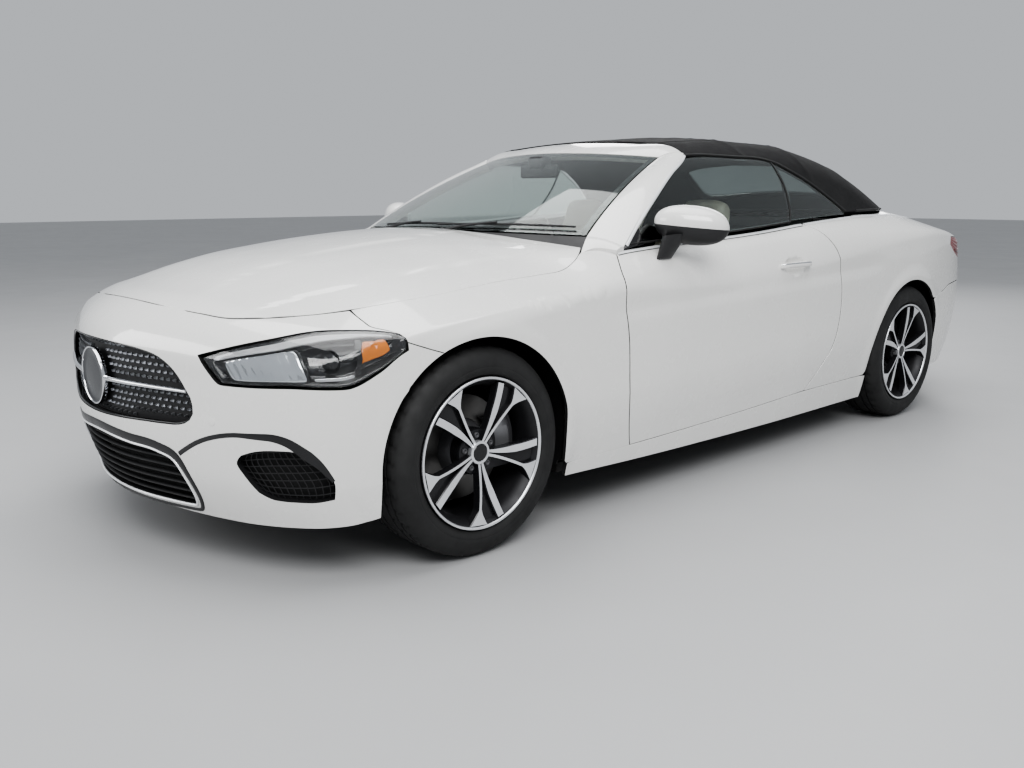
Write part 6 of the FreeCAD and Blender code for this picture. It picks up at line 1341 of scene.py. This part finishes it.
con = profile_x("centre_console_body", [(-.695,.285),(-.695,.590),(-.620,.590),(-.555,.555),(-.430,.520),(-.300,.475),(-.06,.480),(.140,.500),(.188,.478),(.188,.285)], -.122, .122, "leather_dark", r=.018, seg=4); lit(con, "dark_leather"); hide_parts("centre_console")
o = profile_x("console_trim", [(-.66,.592),(-.55,.560),(-.42,.525),(-.31,.4825),(-.31,.474),(-.43,.512),(-.56,.548),(-.66,.580)], -.080, .080, "gloss_black", r=.003, seg=2); lit(o, "dark_plastic")
o = rounded_box("arm_rest", (-.100, -.09, .478), (.100, .165, .520), .018, "leather_cream"); lit(o, "light_leather")

# steering wheel
ct = math.radians(24.0); SW = arr((.38, -.47, .80)); axw = arr((0, math.cos(ct), math.sin(ct))); uw = arr((1, 0, 0)); vw = np.cross(axw, uw)
pts = [SW + (uw * math.cos(a_) + vw * math.sin(a_)) * .182 for a_ in np.linspace(0, 2 * math.pi, 80, endpoint=False)]
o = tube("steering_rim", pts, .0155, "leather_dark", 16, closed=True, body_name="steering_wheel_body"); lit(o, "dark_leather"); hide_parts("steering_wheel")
secs = []
for t in np.linspace(0, 1, 9):
    r = .062 * (1 - .55 * t ** 3); secs.append([SW + axw * (-.018 + .034 * t) + (uw * math.cos(a_) * r * 1.12 + vw * math.sin(a_) * r) for a_ in np.linspace(0, 2 * math.pi, 40, endpoint=False)])
o = loft("steering_pad", secs, "leather_dark", "steering_wheel_body"); lit(o, "dark_leather")
for k, (dx, dy) in enumerate(((1, .0), (-1, .0), (0, -1))):
    d_ = uw * dx + vw * (abs(dy) * (-1 if vw[2] > 0 else 1)); d_ /= np.linalg.norm(d_); s_ = np.cross(axw, d_)
    secs = [[SW + d_ * (.050 + .122 * t) + s_ * math.cos(a_) * (.020 - .006 * t) + axw * (math.sin(a_) * .007 - .004) for a_ in np.linspace(0, 2 * math.pi, 14, endpoint=False)] for t in np.linspace(0, 1, 8)]
    o = loft(f"steering_spoke_{k}", secs, "satin_chrome" if k == 2 else "leather_dark", "steering_wheel_body"); lit(o, "chrome_trim" if k == 2 else "dark_leather")

# door cards
P = grid(body, DOOR_BOTTOM, DOOR_BELT, DOOR_FRONT, DOOR_REAR, 40, 30, (.036, .036, .034, .002))
card = []
thk = .036 + .034 * np.clip(np.minimum(np.linspace(0, 1, 40)[:, None], 1 - np.linspace(0, 1, 40)[:, None]) / .05, 0, 1) * np.clip(np.minimum(np.linspace(0, 1, 30)[None] / .06, (1 - np.linspace(0, 1, 30)[None]) / .05), 0, 1)
vv = np.linspace(0, 1, 30)[None]
arm = .020 * np.exp(-((vv - .62) / .07) ** 2) * np.ones((40, 1))
thk = thk + 0 * arm
I = P.copy(); I[..., 0] -= (thk - .004)
O = P.copy(); O[..., 0] -= .022
V = list(I.reshape(-1, 3)) + list(O.reshape(-1, 3)); m = 40 * 30
F = grid_faces(40, 30, 0, False) + grid_faces(40, 30, m, True)
idx = [(i, 0) for i in range(40)] + [(39, j) for j in range(1, 30)] + [(i, 29) for i in range(38, -1, -1)] + [(0, j) for j in range(28, 0, -1)]
ids = [i * 30 + j for i, j in idx]
for k in range(len(ids)):
    a_, b_ = ids[k], ids[(k + 1) % len(ids)]; F.append((a_, b_, b_ + m, a_ + m))
o = obj("door_card_left", V, F, "leather_dark")
bm = bmesh.new(); bm.from_mesh(o.data); bmesh.ops.recalc_face_normals(bm, faces=bm.faces); bm.to_mesh(o.data); bm.free()
o.data.shade_smooth(); o.data.set_sharp_from_angle(angle=math.radians(40))
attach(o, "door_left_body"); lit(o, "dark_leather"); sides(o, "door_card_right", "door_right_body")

# cushions --------------------------------------------------------------
def grid_block(name, nx, ny, nz, shape):
    """closed block of quads, every surface point sent through shape(u, v, w), each 0 to 1"""
    bm = bmesh.new(); cache = {}
    def vert(i, j, k):
        key_ = (i, j, k)
        if key_ not in cache: cache[key_] = bm.verts.new(tuple(shape(i / nx, j / ny, k / nz)))
        return cache[key_]
    def q(*c): bm.faces.new([vert(*p) for p in c])
    for i in range(nx):
        for j in range(ny):
            q((i, j, 0), (i, j + 1, 0), (i + 1, j + 1, 0), (i + 1, j, 0)); q((i, j, nz), (i + 1, j, nz), (i + 1, j + 1, nz), (i, j + 1, nz))
    for i in range(nx):
        for k in range(nz):
            q((i, 0, k), (i + 1, 0, k), (i + 1, 0, k + 1), (i, 0, k + 1)); q((i, ny, k), (i, ny, k + 1), (i + 1, ny, k + 1), (i + 1, ny, k))
    for j in range(ny):
        for k in range(nz):
            q((0, j, k), (0, j, k + 1), (0, j + 1, k + 1), (0, j + 1, k)); q((nx, j, k), (nx, j + 1, k), (nx, j + 1, k + 1), (nx, j, k + 1))
    bmesh.ops.recalc_face_normals(bm, faces=bm.faces)
    me = bpy.data.meshes.new(name); bm.to_mesh(me); bm.free()
    o = bpy.data.objects.new(name, me); col.objects.link(o); return o

def rounded(u, v, w, r=.16):
    """unit block with drawn-in corners: moves the outer points in towards an ellipsoid-like form"""
    p = arr((2 * u - 1, 2 * v - 1, 2 * w - 1)); e = 5.0
    n_ = (abs(p[0]) ** e + abs(p[1]) ** e + abs(p[2]) ** e) ** (1 / e); mx_ = max(abs(p))
    return p * (mx_ / n_ if n_ > 0 else 1)

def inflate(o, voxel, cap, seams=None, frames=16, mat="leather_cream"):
    """padded cover: remeshed, blown up a little as cloth, held near its start, then sewn lines pressed in"""
    name = o.name
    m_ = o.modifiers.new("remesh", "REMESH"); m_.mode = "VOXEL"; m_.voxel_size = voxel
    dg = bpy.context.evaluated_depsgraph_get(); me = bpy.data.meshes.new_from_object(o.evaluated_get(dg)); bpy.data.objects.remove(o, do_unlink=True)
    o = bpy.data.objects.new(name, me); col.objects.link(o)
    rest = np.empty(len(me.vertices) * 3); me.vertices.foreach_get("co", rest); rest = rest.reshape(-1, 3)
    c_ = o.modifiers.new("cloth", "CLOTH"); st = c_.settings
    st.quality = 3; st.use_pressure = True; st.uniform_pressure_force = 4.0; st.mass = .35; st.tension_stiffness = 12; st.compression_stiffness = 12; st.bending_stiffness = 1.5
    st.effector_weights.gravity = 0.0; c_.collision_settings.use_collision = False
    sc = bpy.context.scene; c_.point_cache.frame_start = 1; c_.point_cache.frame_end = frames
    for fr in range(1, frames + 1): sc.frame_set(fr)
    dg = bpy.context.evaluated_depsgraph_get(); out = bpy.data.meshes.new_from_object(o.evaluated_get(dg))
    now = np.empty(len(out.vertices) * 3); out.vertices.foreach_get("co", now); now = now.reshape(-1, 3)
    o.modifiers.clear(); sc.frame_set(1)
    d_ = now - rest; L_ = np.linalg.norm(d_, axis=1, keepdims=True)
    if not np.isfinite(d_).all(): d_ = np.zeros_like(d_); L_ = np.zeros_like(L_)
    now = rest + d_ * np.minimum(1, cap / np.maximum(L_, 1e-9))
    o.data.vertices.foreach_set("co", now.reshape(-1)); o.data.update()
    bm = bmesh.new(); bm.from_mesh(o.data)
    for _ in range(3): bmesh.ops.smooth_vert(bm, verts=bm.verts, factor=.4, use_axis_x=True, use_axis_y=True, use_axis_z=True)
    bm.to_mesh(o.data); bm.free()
    if seams:
        me = o.data; co = np.empty(len(me.vertices) * 3); me.vertices.foreach_get("co", co); co = co.reshape(-1, 3)
        no = np.array([tuple(v.normal) for v in me.vertices])
        co = co - no * seams(co)[:, None]
        me.vertices.foreach_set("co", co.reshape(-1)); me.update()
    o.data.materials.clear(); o.data.materials.append(MAT[mat]); o.data.shade_smooth()
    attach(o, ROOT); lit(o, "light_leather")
    return o

def groove(d, w_=.005): return np.exp(-(d / w_) ** 2)
SX = .38
def seat_cushion(u, v, w):
    p = rounded(u, v, w); x = p[0] * .238; y = -.175 + p[1] * .262; z = .395 + p[2] * .062
    bol = max(0, (abs(p[0]) - .62) / .38)
    if p[2] > 0: z += .030 * math.sin(min(1, bol * 1.4) * math.pi * .5) * p[2] * (1 - .4 * max(0, -p[1]))
    z += -.018 * (p[1] if p[2] > 0 else 0)
    return (SX + x, y, z)
def seat_back(u, v, w):
    p = rounded(u, v, w); t = (p[2] + 1) / 2; half = .232 - .038 * t ** 2
    x = p[0] * half; y = p[1] * .060; z = p[2] * .292
    bol = max(0, (abs(p[0]) - .60) / .40)
    if p[1] < 0: y -= .036 * math.sin(min(1, bol * 1.4) * math.pi * .5) * (-p[1]) * (1 - .5 * t)
    a_ = math.radians(20); yy = y * math.cos(a_) + z * math.sin(a_); zz = -y * math.sin(a_) + z * math.cos(a_)
    return (SX + x, .150 + yy, .648 + zz)
def head_rest(u, v, w):
    p = rounded(u, v, w); a_ = math.radians(14); x = p[0] * (.128 - .012 * p[2]); y = p[1] * .043; z = p[2] * .092
    return (SX + x, .262 + y * math.cos(a_) + z * math.sin(a_), 1.015 - y * math.sin(a_) + z * math.cos(a_))
def cushion_seams(co):
    x = co[:, 0] - SX; d = np.zeros(len(co)); up = np.clip((co[:, 2] - .40) / .03, 0, 1)
    for xs_ in (-.148, .148): d += .0060 * groove(x - xs_) * up
    inner_ = (np.abs(x) < .148)
    for ys_ in (-.33, -.27, -.21, -.15, -.09, -.03): d += .0050 * groove(co[:, 1] - ys_) * up * inner_
    return d
def back_seams(co):
    x = co[:, 0] - SX; fr_ = np.clip((.150 + (co[:, 2] - .648) * math.tan(math.radians(20)) - .010 - co[:, 1]) / .02, 0, 1); d = np.zeros(len(co))
    for xs_ in (-.140, .140): d += .0060 * groove(x - xs_) * fr_
    for zs_ in (.44, .50, .56, .62, .68, .74, .80): d += .0050 * groove(co[:, 2] - zs_) * fr_ * (np.abs(x) < .140)
    return d
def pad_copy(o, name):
    me = o.data.copy(); me.transform(Matrix.Scale(-1, 4, (1, 0, 0))); me.flip_normals()
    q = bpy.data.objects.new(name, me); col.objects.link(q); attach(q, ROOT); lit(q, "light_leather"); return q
made = []
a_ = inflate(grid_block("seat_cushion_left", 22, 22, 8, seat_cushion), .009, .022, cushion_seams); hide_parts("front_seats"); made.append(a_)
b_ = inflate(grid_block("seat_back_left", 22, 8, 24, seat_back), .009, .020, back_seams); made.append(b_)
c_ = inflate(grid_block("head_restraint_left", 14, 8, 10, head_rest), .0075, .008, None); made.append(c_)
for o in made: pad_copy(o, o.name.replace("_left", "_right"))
for s, nm in ((1, "left"), (-1, "right")):
    for k, dx in enumerate((-.055, .055)):
        o = tube(f"head_post_{nm}_{k}", [(s * SX + dx, .232, .88), (s * SX + dx, .250, .965)], .006, "chrome", 10); lit(o, "chrome_trim")
    o = rounded_box(f"seat_base_{nm}", (s * SX - .20, -.40, .200), (s * SX + .20, .08, .335), .02, "black_plastic"); lit(o, "dark_plastic")
    o = rounded_box(f"seat_shell_{nm}", (s * SX - .19, .175, .36), (s * SX + .19, .215, .62), .015, "black_plastic"); lit(o, "dark_plastic")
def rear_cushion(u, v, w):
    p = rounded(u, v, w); return (.285 + p[0] * .268, .715 + p[1] * .200, .388 + p[2] * .068 - .012 * p[1] * (p[2] > 0))
def rear_back(u, v, w):
    p = rounded(u, v, w); x = p[0] * .265; y = p[1] * .055; z = p[2] * .235; a_ = math.radians(14)
    return (.285 + x, 1.012 + y * math.cos(a_) + z * math.sin(a_), .688 - y * math.sin(a_) + z * math.cos(a_))
def rc_seams(co):
    d = .005 * groove(np.abs(co[:, 0] - .285) - .175) * np.clip((co[:, 2] - .39) / .03, 0, 1)
    for ys_ in (.60, .67, .74, .81): d += .004 * groove(co[:, 1] - ys_) * (np.abs(co[:, 0] - .285) < .175) * np.clip((co[:, 2] - .39) / .03, 0, 1)
    return d
def rb_seams(co):
    fr_ = np.clip((1.0 + (co[:, 2] - .688) * .25 - co[:, 1]) / .02, 0, 1); d = .005 * groove(np.abs(co[:, 0] - .285) - .175) * fr_
    for zs_ in (.52, .59, .66, .73, .80): d += .004 * groove(co[:, 2] - zs_) * (np.abs(co[:, 0] - .285) < .175) * fr_
    return d
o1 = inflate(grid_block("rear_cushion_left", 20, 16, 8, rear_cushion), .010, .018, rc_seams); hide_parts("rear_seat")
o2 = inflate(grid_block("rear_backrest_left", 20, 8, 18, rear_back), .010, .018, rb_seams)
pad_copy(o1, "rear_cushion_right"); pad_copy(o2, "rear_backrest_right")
for s, nm in ((1, "left"), (-1, "right")):
    o = rounded_box(f"rear_side_trim_{nm}", (s * .60 - .05, .55, .30), (s * .60 + .05, 1.10, .86), .02, "leather_dark"); lit(o, "dark_leather")
o = rounded_box("rear_bench_base", (-.555, .56, .205), (.555, .90, .325), .015, "carpet"); lit(o, "dark_leather")
o = profile_x("parcel_shelf", [(1.085,.945),(1.10,.965),(1.62,1.000),(1.62,.985),(1.10,.945)], -.60, .60, "carpet", r=.004, seg=2); lit(o, "dark_leather")

# =====================================================================
# floor, light, camera
# =====================================================================
fm, nt, b = new_mat("studio_floor")
nt.links.new(ramp(nt, noise(nt, .6), [(.3, (.40, .402, .405)), (.7, (.425, .427, .43))]), b.inputs["Base Color"])
nt.links.new(spread(nt, noise(nt, 3), .50, .60), b.inputs["Roughness"]); bump(nt, b, noise(nt, 60), .03, .001)
bm = bmesh.new(); bmesh.ops.create_grid(bm, x_segments=8, y_segments=8, size=40); me = bpy.data.meshes.new("studio_floor"); bm.to_mesh(me); bm.free()
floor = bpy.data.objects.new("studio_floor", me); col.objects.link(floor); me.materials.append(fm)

world = bpy.data.worlds.new("studio_world"); bpy.context.scene.world = world; world.use_nodes = True
bg = world.node_tree.nodes["Background"]; bg.inputs["Color"].default_value = (.80, .83, .87, 1); bg.inputs["Strength"].default_value = .50
def area(name, loc, target, sx_, sy_, power, color=(1, 1, 1)):
    l = bpy.data.lights.new(name, "AREA"); l.shape = "RECTANGLE"; l.size = sx_; l.size_y = sy_; l.energy = power; l.color = color
    o = bpy.data.objects.new(name, l); col.objects.link(o); o.location = loc
    o.rotation_euler = (Vector(target) - Vector(loc)).to_track_quat("-Z", "Y").to_euler(); return o
area("key_light", (5.5, -4.5, 6.0), (0, 0, .6), 6, 3.5, 470)
area("top_light", (0, -.5, 6.5), (0, 0, 0), 7, 5, 260)
area("front_light", (-3.5, -7.5, 3.2), (0, -1, .6), 5, 2.5, 150)
area("rear_light", (-3.5, 6.5, 4.0), (0, 0, .6), 5, 3, 170)

a_, e_, r_ = math.radians(47.46739), math.radians(11.40215), math.radians(-.09356)
back_ = arr((math.sin(a_) * math.cos(e_), -math.cos(a_) * math.cos(e_), math.sin(e_))); right_ = arr((math.cos(a_), math.sin(a_), 0)); up_ = np.cross(back_, right_)
X_ = math.cos(r_) * right_ + math.sin(r_) * up_; Y_ = -math.sin(r_) * right_ + math.cos(r_) * up_
cam = bpy.data.cameras.new("camera"); co_ = bpy.data.objects.new("camera", cam); col.objects.link(co_)
cam.sensor_width = 36.0; cam.lens = 944.092 * 36.0 / 1024; cam.clip_start = .05; cam.clip_end = 200
co_.matrix_world = Matrix(((X_[0], Y_[0], back_[0], 3.07884050), (X_[1], Y_[1], back_[1], -3.43461802), (X_[2], Y_[2], back_[2], 1.14018346), (0, 0, 0, 1)))
bpy.context.scene.camera = co_
try:
    bpy.context.scene.view_settings.view_transform = "AgX"
    bpy.context.scene.view_settings.look = "AgX - Medium High Contrast"
except Exception: pass
bpy.context.scene.view_settings.exposure = .22
